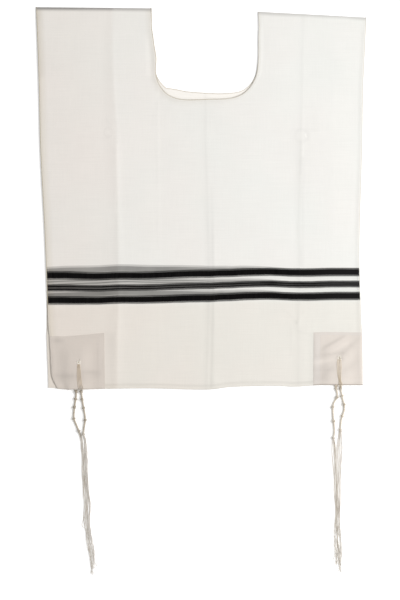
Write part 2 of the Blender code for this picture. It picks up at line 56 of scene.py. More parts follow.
def clamp(x, low=0.0, high=1.0):
    return max(low, min(high, x))


def ease(x, start, end):
    # 0 at start and 1 at end, smooth at both; start may be the larger
    t = clamp((x - start) / (end - start))
    return t * t * (3 - 2 * t)


def lookup(table, x, column=1):
    # a smooth curve through a table's rows
    keys = [row[0] for row in table]
    if x <= keys[0]:
        return table[0][column]
    if x >= keys[-1]:
        return table[-1][column]
    k = bisect.bisect_right(keys, x) - 1

    def slope(i):
        low, high = max(i - 1, 0), min(i + 1, len(table) - 1)
        return (table[high][column] - table[low][column]) / (keys[high] - keys[low])

    span = keys[k + 1] - keys[k]
    t = (x - keys[k]) / span
    start, end = table[k][column], table[k + 1][column]
    return (start * (1 + 2 * t) * (1 - t) ** 2 + end * t * t * (3 - 2 * t)
            + slope(k) * span * t * (1 - t) ** 2 - slope(k + 1) * span * t * t * (1 - t))


def spread(start, end, step):
    # evenly spaced values from start to end, both kept
    count = max(1, round(abs(end - start) / step))
    return [mix(start, end, n / count) for n in range(count + 1)]


def stations(steps, fixed, end, step):
    # a rim's steps at both ends, and even places between them that take in all the fixed ones
    marks = [steps[-1], *fixed, end - steps[-1]]
    places = list(steps[:-1])
    for a, b in zip(marks, marks[1:]):
        places += spread(a, b, step)[:-1]
    return places + [end - inset for inset in reversed(steps)]


def nearest(values, wanted):
    return min(range(len(values)), key=lambda k: abs(values[k] - wanted))


def streaks(table, x, y, power=1.6):
    # what a table's streaks (start, end, reach and strength) add up to at a place
    total = 0.0
    for start, end, reach, strength in table:
        run, place = Vector(end) - Vector(start), Vector((x, y)) - Vector(start)
        t = clamp(place.dot(run) / run.length_squared)
        away = (place - run * t).length / reach
        if away < 3.0:
            total += strength * math.exp(-away ** power) * math.sin(math.pi * mix(0.15, 0.85, t))
    return total


def signOf(side):
    return 1 if side == "right" else -1


def evenPath(points, step):
    # a smooth curve through the points, resampled at an even step
    path, cuts = [Vector(p) for p in points], 12
    fine = []
    for k in range(len(path) - 1):
        before, after = path[max(k - 1, 0)], path[min(k + 2, len(path) - 1)]
        a, b = path[k], path[k + 1]
        for n in range(cuts):
            t = n / cuts
            fine.append(0.5 * (2 * a + (b - before) * t + (2 * before - 5 * a + 4 * b - after) * t * t
                               + (3 * a - before - 3 * b + after) * t ** 3))
    fine.append(path[-1])
    lengths = [0.0]
    for a, b in zip(fine, fine[1:]):
        lengths.append(lengths[-1] + (b - a).length)
    count = max(2, round(lengths[-1] / step))
    even = []
    for n in range(count + 1):
        want = lengths[-1] * n / count
        k = min(bisect.bisect_right(lengths, want) - 1, len(fine) - 2)
        even.append(fine[k].lerp(fine[k + 1], (want - lengths[k]) / max(lengths[k + 1] - lengths[k], 1e-9)))
    return even


# Nodes: Python's operators on a socket add Math nodes

class Wire:
    def __init__(self, bench, socket):
        self.bench, self.socket = bench, socket

    def other(self, name):
        return Wire(self.bench, self.socket.node.outputs[name])

    def math(self, operation, *values):
        return self.bench.add("ShaderNodeMath", {"operation": operation}, dict(enumerate(values)))

    def __add__(self, value):
        return self.math("ADD", self, value)

    def __sub__(self, value):
        return self.math("SUBTRACT", self, value)

    def __rsub__(self, value):
        return self.math("SUBTRACT", value, self)

    def __mul__(self, value):
        return self.math("MULTIPLY", self, value)

    def __truediv__(self, value):
        return self.math("DIVIDE", self, value)

    def __pow__(self, value):
        return self.math("POWER", self, value)

    def __abs__(self):
        return self.math("ABSOLUTE", self)

    __radd__ = __add__
    __rmul__ = __mul__

    def sin(self):
        return self.math("SINE", self)

    def cos(self):
        return self.math("COSINE", self)

    def most(self, value):
        return self.math("MINIMUM", self, value)

    def least(self, value):
        return self.math("MAXIMUM", self, value)

    def ramp(self, start, end):
        # 0 at start and 1 at end, clamped and smooth
        return self.bench.add("ShaderNodeMapRange", {"interpolation_type": "SMOOTHSTEP"},
                              {"Value": self, "From Min": start, "From Max": end})


class Bench:
    # one node tree that is being filled
    def __init__(self, tree):
        self.tree = tree

    def add(self, kind, settings=None, sockets=None, out=0):
        node = self.tree.nodes.new(kind)
        for name, value in (settings or {}).items():
            setattr(node, name, value)
        for name, value in (sockets or {}).items():
            if isinstance(value, Wire):
                self.tree.links.new(value.socket, node.inputs[name])
            elif isinstance(value, list):
                for wire in value:
                    self.tree.links.new(wire.socket, node.inputs[name])
            else:
                node.inputs[name].default_value = value
        return Wire(self, node.outputs[out]) if len(node.outputs) else node

    def mixColour(self, factor, a, b, blend="MIX"):
        a, b = (value if isinstance(value, Wire) else (*value, 1) for value in (a, b))
        return self.add("ShaderNodeMix", {"data_type": "RGBA", "blend_type": blend},
                        {0: factor, 6: a, 7: b}, out=2)

    def multiplied(self, a, b):
        return self.mixColour(1.0, a, b, "MULTIPLY")

    def lit(self, colour, light):
        # a colour times one number
        grey = self.add("ShaderNodeCombineColor", {}, {0: light, 1: light, 2: light})
        return self.multiplied(colour, grey)

    def attribute(self, name):
        return self.add("ShaderNodeAttribute", {"attribute_name": name}, out="Fac")

    def noise(self, vector, scale, detail=2.0, roughness=0.5):
        return self.add("ShaderNodeTexNoise", {},
                        {"Vector": vector, "Scale": scale, "Detail": detail, "Roughness": roughness})

    def streaks(self, vector, x, y, detail=3.0, roughness=0.6):
        # noise stretched along an axis; x and y are its cycles in a metre
        return self.noise(self.vector("MULTIPLY", vector, (x, y, 1.0)), 1.0, detail, roughness)

    def vector(self, operation, *values):
        return self.add("ShaderNodeVectorMath", {"operation": operation}, dict(enumerate(values)))

    def scaled(self, vector, factor):
        return self.add("ShaderNodeVectorMath", {"operation": "SCALE"}, {0: vector, "Scale": factor})

    def split(self, vector):
        return self.add("ShaderNodeSeparateXYZ", {}, {0: vector})

    def combined(self, x, y, z):
        return self.add("ShaderNodeCombineXYZ", {}, {0: x, 1: y, 2: z})

    def circle(self, sides, radius):
        return self.add("GeometryNodeCurvePrimitiveCircle", {}, {"Resolution": sides, "Radius": radius})

    def evenCurve(self, curve, step):
        return self.add("GeometryNodeResampleCurve", {"mode": "LENGTH"}, {"Curve": curve, "Length": step})

    def edgesCurve(self, given, step):
        # the edges that a tree is given, as an even curve
        return self.evenCurve(self.add("GeometryNodeMeshToCurve", {}, {"Mesh": given}), given.other(step))

    def tube(self, curve, profile, caps):
        return self.add("GeometryNodeCurveToMesh", {},
                        {"Curve": curve, "Profile Curve": profile, "Fill Caps": caps})

    def joined(self, shapes):
        return self.add("GeometryNodeJoinGeometry", {}, {"Geometry": shapes})


def newMaterial(name):
    material = bpy.data.materials.new(name)
    material.use_nodes = True
    material.node_tree.nodes.clear()
    return material, Bench(material.node_tree)


def finishMaterial(bench, colour, roughness, height, distance, sheen, sheenTint):
    # a matt fibre surface; height is raised by distance, in metres
    bump = bench.add("ShaderNodeBump", {}, {"Height": height, "Distance": distance, "Strength": 1.0})
    shader = bench.add("ShaderNodeBsdfPrincipled", {},
                       {"Base Color": colour, "Roughness": roughness, "Normal": bump,
                        "Sheen Weight": sheen, "Sheen Roughness": 0.5,
                        "Sheen Tint": (*sheenTint, 1), "Specular IOR Level": 0.05})
    bench.add("ShaderNodeOutputMaterial", {}, {"Surface": shader})


def plainWeave(across, along, thread):
    # yarns over and under in turn
    turn = math.pi / (thread * mm)
    over = ((across * turn).sin() * (along * turn).sin()).ramp(-0.35, 0.35)
    return over * abs((across * turn).cos()) + (1 - over) * abs((along * turn).cos())


woolLook = {
    "cream": (0.813, 0.806, 0.777),         # right side
    # the left side's colour: yellower and a little darker, painted shade of the side away from the light
    "creamLeftShaded": (0.803, 0.764, 0.723),
    # below the bands the cloth is also drawn darker: painted shade of the lower part
    "lower": (0.954, 0.928, 0.898),        # below the bands the cloth is a little pinker
    # paler where the back lies alone: painted light that comes through the one layer from the white floor
    "singleLayerLit": (0.93, 0.895, 0.845),         # the back alone, above the front's neck edge
    "tones": ((1.008, 0.996, 0.989), (0.992, 1.001, 0.994)),    # slow patches, warmer and cooler
    "black": (0.0014, 0.0011, 0.0012), "blackWorn": (0.006, 0.0052, 0.0053),
    "blackRight": (0.0105, 0.0096, 0.0098),
    "thread": 0.75,                         # from one yarn to the next
    "pitch": 21.0,                          # from one band to the next
    "coreHalf": 4.42, "rimHalf": 7.25,      # the outer bands, and the fine lines beside them
    "coreLow": 0.2,                         # how far below its place a band lies
    "lineAway": 1.75, "lineAwayLeft": 0.75, "lineHalf": 1.3, "lineRim": 5.9,
    "fineLine": 1.15,                       # the fine lines' pitch
    "between": 0.64, "betweenFar": 0.30, "betweenBelow": 0.14,    # how dark it is between them
    "showThrough": 0.62, "showThroughFine": 0.5,
    "gap": 0.095,                           # how much darker the cloth is among the bands
    "edgeFree": 0.9,                        # how far the dyed yarn stays under the edge thread
    # the edges' brown, part wear and part painted shade, and the fold's painted grey shade
    "edgeTint": (0.50, 0.44, 0.325), "foldShade": (0.30, 0.285, 0.27),
    # painted shade along the three creases: which, how far off, half width in mm, strength, and more low down
    "creaseShade": [("fromLeft", 3.5, 12.0, 0.020, 0.0), ("fromRight", 0.0, 4.5, 0.018, 0.0),
                ("fromRight", 0.0, 13.0, 0.014, 0.0), ("fromMiddle", 0.0, 4.2, 0.030, 0.0),
                ("fromMiddle", 8.2, 4.0, 0.0, 0.040), ("fromMiddle", 3.0, 20.0, 0.012, 0.022)],
    # and along the hem, painted shade and a painted lighter line: how far in, half width in mm, and strength
    "hemShadow": (6.6, 3.8, 0.08), "hemLight": (3.9, 1.4, 0.04),
    # how much edgeTint the rims and a wider strip take as wear and painted shade, more on the left
    "rimTint": (0.34, 0.30), "wideTint": 0.30,    # how much edgeTint the edges take, and more on the left
    "foldShadeStrength": (0.38, 0.56),
    # painted shade in faint rings round pressed-in puckers: centre, half width and height in mm, and strength
    "rings": [((-161.4, 276.4), (7.5, 8.5), 0.032), ((176.5, 270.5), (11.5, 11), 0.02)],
    # and painted shade along short creases and beside the squares, painted light below 0: start, end, half
    # width in mm, and strength
    "strokes": [((160, 280.5), (203, 280), 4.5, 0.014), ((167, -56), (152, -38), 4.8, 0.014),
        ((167, -56), (179, -38), 4.8, 0.014), ((166.5, -53), (167.5, -57), 5, 0.03),
        ((168.5, -70.5), (191, -77.5), 4, 0.02), ((156.8, -64), (158, -112), 3.6, 0.02),
        ((194.5, -78), (194.5, -166), 11, 0.045), ((-146, 258), (-148, 296), 3, 0.03),
        ((-157, 288), (-166, 300), 4, 0.015), ((176, 246), (174.5, 205), 4, 0.03),
        ((183, 273), (184, 269), 3, -0.07), ((-161.4, 275.5), (-161.4, 277.5), 3, -0.05),
        ((-91, 468), (-91, 378), 9, -0.04), ((177.5, 232), (176.5, 45), 6.5, 0.05),
        ((-147, 130), (-144, 45), 9, 0.025), ((-285, 480), (-281, 380), 14, 0.07)],
}


def dip(away, centre, half):
    # 1 at a distance and 0 where it is half further or nearer
    return abs(away - centre).ramp(half, 0.0)


def creaseShading(bench, across, along):
    # how much painted shade the three creases, the puckers and the short creases get, and painted light where
    # it is below 0
    low = along.ramp(0.20, 0.08)
    marks = sum(dip(bench.attribute(line), centre, half) * (strength + more * low)
                for line, centre, half, strength, more in woolLook["creaseShade"])
    x, y = across * (1 / mm), along * (1 / mm)
    for (cx, cy), (wide, high), strength in woolLook["rings"]:
        away = (((x - cx) / wide) ** 2.0 + ((y - cy) / high) ** 2.0) ** 0.5
        marks = marks + dip(away, 1.0, 0.42) * strength
    for start, end, half, strength in woolLook["strokes"]:
        run = Vector(end) - Vector(start)
        way = run.normalized()
        t = (x - start[0]) * way.x + (y - start[1]) * way.y
        beyond = t.least(0.0).most(run.length)
        off = ((x - start[0] - beyond * way.x) ** 2.0 + (y - start[1] - beyond * way.y) ** 2.0) ** 0.5
        marks = marks + off.ramp(half, 0.0) * strength
    return marks


def bandShares(place, across, soft):
    # how dark the solid parts and the fine-lined parts are, and the way from the nearest band's middle
    look = woolLook
    nearest = place.math("ROUND", place / look["pitch"])
    local = place - nearest * look["pitch"]
    isMiddle, away = abs(nearest).ramp(0.9, 0.1), abs(local + look["coreLow"])
    within = abs(nearest).ramp(1.6, 1.4)
    outer = away.ramp(look["coreHalf"] + soft, look["coreHalf"] - soft)
    lineAway = look["lineAway"] + across.ramp(-0.11, -0.16) * look["lineAwayLeft"]
    lines = abs(away - lineAway).ramp(look["lineHalf"] + soft, look["lineHalf"] - soft)
    core = outer + (lines - outer) * isMiddle
    half = look["rimHalf"] + (look["lineRim"] - look["rimHalf"]) * isMiddle
    zone = (half + soft - away).ramp(0.0, 2 * soft)
    return core * within, zone * within, local


def woolMaterial():
    look = woolLook
    material, bench = newMaterial("wool")
    uv = bench.add("ShaderNodeUVMap", {"uv_map": "cloth"})
    across = bench.split(uv)
    along = across.other("Y")
    own, behind = bench.attribute("ownBand"), bench.attribute("behindBand")
    # side is how much of the left side's painted shade a place has
    inset, side = bench.attribute("edgeInset"), bench.attribute("leftShade")
    fromFold = bench.attribute("fromFold")

    # uneven yarns: thin streaks both ways, and slow patches
    streakUp, streakOver = bench.streaks(uv, 900, 22), bench.streaks(uv, 18, 760)
    patches, slow = bench.noise(uv, 14.0, 3.0), bench.noise(uv, 6.0, 2.0)
    fibre = bench.noise(uv, 2600.0, 2.0)
    shade = (streakUp - 0.5) * 0.07 + (streakOver - 0.5) * 0.09 + (patches - 0.5) * 0.045
    base = bench.mixColour(side, look["cream"], look["creamLeftShaded"])
    # darker and pinker below the bands: painted shade
    lower = own.ramp(-24.0, -36.0)
    base = bench.mixColour(lower, base, bench.multiplied(base, look["lower"]))
    tone = bench.mixColour(slow.ramp(0.3, 0.7), *look["tones"])
    # paler where the back lies alone: painted light through the one layer
    base = bench.mixColour(bench.attribute("alone"), bench.multiplied(base, tone), look["singleLayerLit"])

    # painted shade along the creases, round the puckers and above the hem, and a painted lighter line at the
    # hem, stronger in some places than in others
    uneven = 0.55 + 0.9 * bench.streaks(uv, 4, 16, 2.0, 0.5)
    nearHem = along.ramp(-0.148, -0.156)
    shadow, pale = (dip(inset, *look[name][:2]) * look[name][2] for name in ("hemShadow", "hemLight"))
    marks = creaseShading(bench, across, along) + (shadow - pale * side) * nearHem
    base = bench.lit(base, 1.0 + shade - marks * uneven)

    # the edges are browner, on the left most, part from wear and part as painted shade, and the fold gets a
    # painted grey shade
    front = fromFold.ramp(-1.0, 1.0)
    tint, more = look["rimTint"]
    rim = inset.ramp(2.6, 0.4) * (tint + more * side) * (1.0 - 0.8 * lower) * (0.45 + 0.55 * front)
    wide = inset.ramp(16.0, 2.0) * side * look["wideTint"] * (1.0 - 0.6 * nearHem) * (0.3 + 0.7 * front)
    base = bench.mixColour(rim.least(wide), base, look["edgeTint"])
    depth, more = look["foldShadeStrength"]
    foldShading = fromFold.ramp(8.5, 0.2) ** 1.6 * fromFold.ramp(-7.5, -5.0) * (depth + more * side)
    base = bench.mixColour(foldShading.most(1.0), base, look["foldShade"])

    # the bands, with ragged edges where their yarns sit unevenly, and the back's that show through
    wander = (bench.streaks(uv, 60, 300, 2.0, 0.5) - 0.5) * 0.7
    kept = inset.ramp(look["edgeFree"] - 0.4, look["edgeFree"] + 0.5)
    core, zone, local = bandShares(own + wander, across, 0.3)
    behindCore, behindZone, _ = bandShares(behind + wander, across, 0.9)
    seen = behindCore.least(behindZone * look["showThroughFine"]) * kept
    through = look["showThrough"] + (patches - 0.5) * 0.30
    between = abs(own).ramp(31.0, 28.0) * kept * (0.6 + 1.4 * side) * look["gap"]
    base = bench.lit(base, (1.0 - seen * through) * (1.0 - between))
    fine = (local * (fullTurn / look["fineLine"]) + streakOver * 2.0).cos().ramp(-0.95, -0.45)
    far = abs(local).ramp(3.2, 6.6)
    spare = look["between"] - far * look["betweenFar"] - local.ramp(0.5, -0.5) * look["betweenBelow"] * far
    inner = abs(local).ramp(3.6, 2.2) * 0.2
    lined = zone * (fine + (1.0 - fine) * (spare + inner)) * (0.93 + 0.14 * (streakOver - 0.5))
    dark = core.least(lined) * kept
    blackYarn = bench.mixColour(streakUp.ramp(0.3, 0.7), look["black"], look["blackWorn"])
    blackYarn = bench.mixColour(across.ramp(0.13, 0.27), blackYarn, look["blackRight"])
    base = bench.mixColour(dark.most(1.0), base, blackYarn)

    weave = plainWeave(across, along, look["thread"])
    height = weave * 0.55 + fibre * 0.35 + streakUp * 0.3 + streakOver * 0.3
    finishMaterial(bench, base, 0.84 + 0.12 * fibre, height, 0.00012, 0.04, (1.0, 0.98, 0.95))
    return material


squareLook = {
    "left": (0.648, 0.584, 0.527),
    "right": (0.702, 0.643, 0.587),
    "allowance": (0.985, 1.0, 1.02),       # its tint where the edge is turned under
    # painted shade on the hem's lower edge, and a darker line where the allowance ends with painted shade
    # along the rim
    "hemEdgeShade": (0.36, 0.31, 0.27), "lineAndRimShade": (0.33, 0.28, 0.24),
    "thread": 0.55,
}


def squareMaterial():
    look = squareLook
    material, bench = newMaterial("patch")
    uv = bench.add("ShaderNodeUVMap", {"uv_map": "cloth"})
    across = bench.split(uv)
    dark, turned = bench.attribute("darkness"), bench.attribute("turnedUnder")
    shade, aboveHem = bench.attribute("shade"), bench.attribute("aboveHem")
    streakUp, streakOver = bench.streaks(uv, 1200, 30), bench.streaks(uv, 30, 1200)
    patches = bench.noise(uv, 40.0, 3.0)
    base = bench.mixColour(dark, look["right"], look["left"])
    paler = bench.multiplied(base, look["allowance"])
    base = bench.mixColour(turned.ramp(1.08, 0.92) * (1.0 - 0.85 * dark), base, paler)
    # a darker line where the turned-under allowance ends, and painted shade along the square's rim
    line, rim = abs(turned - 1.0).ramp(0.12, 0.02), turned.ramp(0.16, 0.0)
    base = bench.mixColour(line * (0.05 - 0.03 * dark) + rim * 0.04, base, look["lineAndRimShade"])
    # painted shade along the hem's lower edge, less on the darker squares
    base = bench.mixColour(aboveHem.ramp(2.6, 0.6) * (0.8 - 0.5 * dark), base, look["hemEdgeShade"])
    light = 1.0 + (streakUp - 0.5) * 0.07 + (streakOver - 0.5) * 0.07 + (patches - 0.5) * 0.06 - shade
    base = bench.lit(base, light)
    height = plainWeave(across, across.other("Y"), look["thread"]) * 0.5 + streakUp * 0.3 + streakOver * 0.3
    finishMaterial(bench, base, 0.8 + 0.1 * patches, height, 0.0001, 0.05, (1.0, 0.97, 0.94))
    return material


threadLook = {
    # the paler thread colour to the right and low down: part fresh thread, part painted light
    "freshAndLit": (0.80, 0.775, 0.72), "black": (0.03, 0.028, 0.027),
    "bandsMiddle": 0.0085, "bandsSlope": 0.0133,     # in metres, and for each metre to the right
}


def threadMaterial(name, pale, deep, fuzz, wornAndShaded=None, blackOverBands=False):
    # thread with a fine fibre grain and deeper in places; darker to the left, part wear and part painted
    # shade, and paler to the right and low down, part fresh thread and part painted light
    material, bench = newMaterial(name)
    place = bench.add("ShaderNodeTexCoord", {}, out="Object")
    grain = bench.noise(place, 1500.0, 3.0, 0.65)
    slow = bench.noise(place, 60.0, 2.0)
    base = bench.mixColour((0.65 * grain + 0.45 * slow - 0.1).most(1.0).least(0.0), deep, pale)
    if wornAndShaded:
        x = bench.split(place)
        freshAndLit = x.ramp(0.07, 0.12).least(x.other("Y").ramp(-0.02, -0.05) * 0.85)
        base = bench.mixColour(x.ramp(0.09, 0.0), base, bench.multiplied(base, wornAndShaded))
        base = bench.mixColour(freshAndLit, base, threadLook["freshAndLit"])
    if blackOverBands:
        x = bench.split(place)
        fromMiddle = abs(x.other("Y") - threadLook["bandsMiddle"] - x * threadLook["bandsSlope"])
        base = bench.mixColour(fromMiddle.ramp(0.028, 0.0265), base, threadLook["black"])
    finishMaterial(bench, base, 0.78 + 0.15 * grain, grain, fuzz, 0.05, (1.0, 0.96, 0.9))
    return material


stringLook = {
    "loop": ((0.86, 0.74, 0.58), (0.95, 0.84, 0.665)),      # over the squares, left and right
    # the cords' grey is partly painted shade of the windings
    "cord": ((0.64, 0.585, 0.505), (0.845, 0.79, 0.705)),
    "fall": ((0.985, 0.97, 0.945), (0.975, 0.95, 0.905)),
    "deep": (0.60, 0.55, 0.475),
    # painted shade between the free strings
    "strandShade": (0.70, 0.655, 0.60),          # the darkest of the free strings
}


def stringMaterial():
    # tan where it lies on the cloth, greyer in the knotted cords, partly as painted shade of the windings,
    # and whiter in the free ends, with streaks of painted shade between them
    look = stringLook
    material, bench = newMaterial("stringWool")
    place = bench.add("ShaderNodeTexCoord", {}, out="Object")
    x = bench.split(place)
    right, y = x.ramp(-0.02, 0.02), x.other("Y")
    grain, slow = bench.noise(place, 1500.0, 3.0, 0.65), bench.noise(place, 90.0, 2.0)
    cord, loop, fall = (bench.mixColour(right, *look[part]) for part in ("cord", "loop", "fall"))
    base = bench.mixColour(y.ramp(-0.172, -0.163), cord, loop)
    fallen = y.ramp(-0.238, -0.266)
    base = bench.mixColour(fallen, base, fall)
    # streaks of painted shade between the free strings
    strandShade = bench.streaks(place, 1100, 28, 1.0, 0.5).ramp(0.40, 0.62) * fallen * 0.85
    base = bench.mixColour(strandShade, base, bench.multiplied(base, look["strandShade"]))
    deep = (1.35 - 1.1 * grain - 0.55 * slow).most(1.0).least(0.0) * (1.0 - 0.3 * fallen)
    base = bench.mixColour(deep, base, bench.multiplied(base, look["deep"]))
    finishMaterial(bench, base, 0.78 + 0.15 * grain, grain, 0.0001, 0.05, (1.0, 0.97, 0.93))
    return material


wool = woolMaterial()
squareCloth = squareMaterial()
stringWool = stringMaterial()
edgeThread = threadMaterial("edgeThread", (0.68, 0.62, 0.52), (0.46, 0.40, 0.30), 0.00006, (0.74, 0.70, 0.58))
sewingThread = threadMaterial("sewingThread", (0.80, 0.76, 0.69), (0.62, 0.56, 0.48), 0.00004,
                              blackOverBands=True)
eyeletThread = threadMaterial("eyeletThread", (0.92, 0.88, 0.81), (0.80, 0.75, 0.67), 0.00005)
print("materials made")


# Geometry node trees

def linked(name, data):
    # a new object that is in the scene
    made = bpy.data.objects.new(name, data)
    bpy.context.scene.collection.objects.link(made)
    return made


def newTree(name, inputs):
    tree = bpy.data.node_groups.new(name, "GeometryNodeTree")
    tree.interface.new_socket(name="Geometry", in_out="INPUT", socket_type="NodeSocketGeometry")
    for label, value in inputs.items():
        kind = "NodeSocketInt" if isinstance(value, int) else "NodeSocketFloat"
        socket = tree.interface.new_socket(name=label, in_out="INPUT", socket_type=kind)
        socket.default_value = value
    tree.interface.new_socket(name="Geometry", in_out="OUTPUT", socket_type="NodeSocketGeometry")
    bench = Bench(tree)
    return bench, bench.add("NodeGroupInput")


def endTree(bench, shape, material):
    whole = bench.add("GeometryNodeRealizeInstances", {}, {"Geometry": shape})
    smooth = bench.add("GeometryNodeSetShadeSmooth", {}, {"Geometry": whole})
    painted = bench.add("GeometryNodeSetMaterial", {}, {"Geometry": smooth, "Material": material})
    bench.add("NodeGroupOutput", {}, {"Geometry": painted})
    return bench.tree


def twisted(bench, curve, radius, pitch, phase):
    # winds a curve's points round it
    turn = bench.add("GeometryNodeSplineParameter", {}, out="Length") * fullTurn / pitch + phase
    normal = bench.add("GeometryNodeInputNormal")
    tangent = bench.add("GeometryNodeInputTangent")
    sideways = bench.vector("CROSS_PRODUCT", tangent, normal)
    offset = bench.vector("ADD", bench.scaled(normal, turn.cos() * radius),
                          bench.scaled(sideways, turn.sin() * radius))
    return bench.add("GeometryNodeSetPosition", {}, {"Geometry": curve, "Offset": offset})


plySpread = 1.12       # the plies' distance from a string's middle, in their own radii


def plied(bench, curve, given, plies):
    # the plies of a string, twisted round each other
    radius = given.other("ply radius")
    profile = bench.circle(given.other("sides"), radius)
    made = []
    for n in range(plies):
        ply = twisted(bench, curve, radius * plySpread, given.other("ply pitch"), fullTurn * n / plies)
        made.append(bench.tube(ply, profile, True))
    return bench.joined(made[::-1])


def stringTree(material, plies):
    bench, given = newTree("plied string", {"step": 0.0011, "ply radius": 0.00025, "ply pitch": 0.0055,
                                            "sides": 5})
    return endTree(bench, plied(bench, bench.edgesCurve(given, "step"), given, plies), material)


def windingTree(material, plies):
    bench, given = newTree("wound string", {"fine step": 0.0003, "coil radius": 0.0016,
                                            "coil pitch": 0.00115, "step": 0.0009, "ply radius": 0.00025,
                                            "ply pitch": 0.0055, "sides": 5})
    curve, radius = bench.edgesCurve(given, "fine step"), given.other("coil radius")
    core = bench.tube(curve, bench.circle(8, radius), True)
    coil = twisted(bench, curve, radius, given.other("coil pitch"), 0.0)
    coil = bench.evenCurve(coil, given.other("step"))
    return endTree(bench, bench.joined([core, plied(bench, coil, given, plies)]), material)


def onPath(bench, given, shape, sizes=None):
    # copies of a shape along the paths, turned to them, with Z on the cloth's outward side
    curve, tangent = bench.edgesCurve(given, "spacing"), bench.add("GeometryNodeInputTangent")
    outward = bench.add("GeometryNodeInputNamedAttribute", {"data_type": "FLOAT_VECTOR"}, {"Name": "outward"})
    turn = bench.add("FunctionNodeAlignRotationToVector", {"axis": "X"}, {"Vector": tangent})
    turn = bench.add("FunctionNodeAlignRotationToVector", {"axis": "Z", "pivot_axis": "X"},
                     {"Rotation": turn, "Vector": outward})
    sockets = {"Points": curve, "Instance": shape, "Rotation": turn}
    if sizes:
        sockets["Scale"] = sizes
    return bench.add("GeometryNodeInstanceOnPoints", {}, sockets)


def stitchTree(material):
    # short raised stitches, each a slim bead
    bench, given = newTree("sewn stitches", {"spacing": 0.0027, "half length": 0.00095, "half width": 0.00021,
                                             "height": 0.00017})
    bead = bench.add("GeometryNodeMeshUVSphere", {}, {"Segments": 6, "Rings": 4, "Radius": 1.0})
    size = bench.combined(*(given.other(name) for name in ("half length", "half width", "height")))
    return endTree(bench, onPath(bench, given, bead, size), material)


def loopTree(material):
    # thread that goes over the edge and back under it
    bench, given = newTree("edge loops", {"spacing": 0.0018, "reach": 0.0021, "overhang": 0.0003,
                                          "thickness": 0.0015, "thread radius": 0.00017, "slant": 0.45,
                                          "points": 8, "sides": 4})
    upright = bench.add("GeometryNodeTransform", {}, {"Geometry": bench.circle(given.other("points"), 1.0),
                                                      "Rotation": (0, math.pi / 2, 0)})
    whole = given.other("reach") + given.other("overhang")
    size = bench.combined(1.0, whole * 0.5, given.other("thickness") * 0.5)
    shift = bench.combined(0.0, whole * 0.5 - given.other("overhang"), 0.0)
    flat = bench.add("GeometryNodeTransform", {}, {"Geometry": upright, "Scale": size, "Translation": shift})
    height = bench.split(bench.add("GeometryNodeInputPosition")).other("Y")
    lean = bench.combined(height * given.other("slant"), 0.0, 0.0)
    slanted = bench.add("GeometryNodeSetPosition", {}, {"Geometry": flat, "Offset": lean})
    loop = bench.tube(slanted, bench.circle(given.other("sides"), given.other("thread radius")), False)
    return endTree(bench, onPath(bench, given, loop), material)


def pathObject(name, paths, outwards=None):
    # paths in millimetres as the edges of one mesh, each point with its outward side
    points, edges, sides = [], [], []
    for n, path in enumerate(paths):
        start = len(points)
        points += [Vector(p) * mm for p in path]
        edges += [(start + k, start + k + 1) for k in range(len(path) - 1)]
        sides += outwards[n] if outwards else [Vector((0, 0, 1))] * len(path)
    mesh = bpy.data.meshes.new(name)
    mesh.from_pydata(points, edges, [])
    layer = mesh.attributes.new("outward", "FLOAT_VECTOR", "POINT")
    for k, side in enumerate(sides):
        layer.data[k].vector = side
    return linked(name, mesh)


def grown(tree, values, paths, outwards=None):
    # the plain mesh that a tree makes on some paths
    host = pathObject(tree.name, paths, outwards)
    modifier = host.modifiers.new(tree.name, "NODES")
    modifier.node_group = tree
    for socket in tree.interface.items_tree:
        if socket.item_type == "SOCKET" and socket.in_out == "INPUT" and socket.name in values:
            modifier[socket.identifier] = values[socket.name]
    graph = bpy.context.evaluated_depsgraph_get()
    mesh = bpy.data.meshes.new_from_object(host.evaluated_get(graph), depsgraph=graph)
    bpy.data.objects.remove(host)
    return mesh


floorGap = 0.00002


def onePiece(name, material, *parts):
    # what trees make as one finished piece, with thread that reaches below the floor pressed flat on it.
    # A part is a tree, its values, its paths and their outward sides.
    meshes = [grown(*part) for part in parts]
    points, faces = [], []
    for mesh in meshes:
        start = len(points)
        points += [(v.co.x, v.co.y, max(v.co.z, floorGap)) for v in mesh.vertices]
        faces += [tuple(start + k for k in face.vertices) for face in mesh.polygons]
    joined = bpy.data.meshes.new(name)
    joined.from_pydata(points, [], faces)
    joined.materials.append(material)
    joined.shade_smooth()
    for mesh in meshes:
        bpy.data.meshes.remove(mesh)
    return linked(name, joined)


def triangles(piece):
    return sum(len(face.vertices) - 2 for face in piece.data.polygons)


def declare(piece, slot, *nodes):
    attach(piece, "root")
    if nodes:
        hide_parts(*nodes)
    print(f"{piece.name}: {triangles(piece)} triangles")


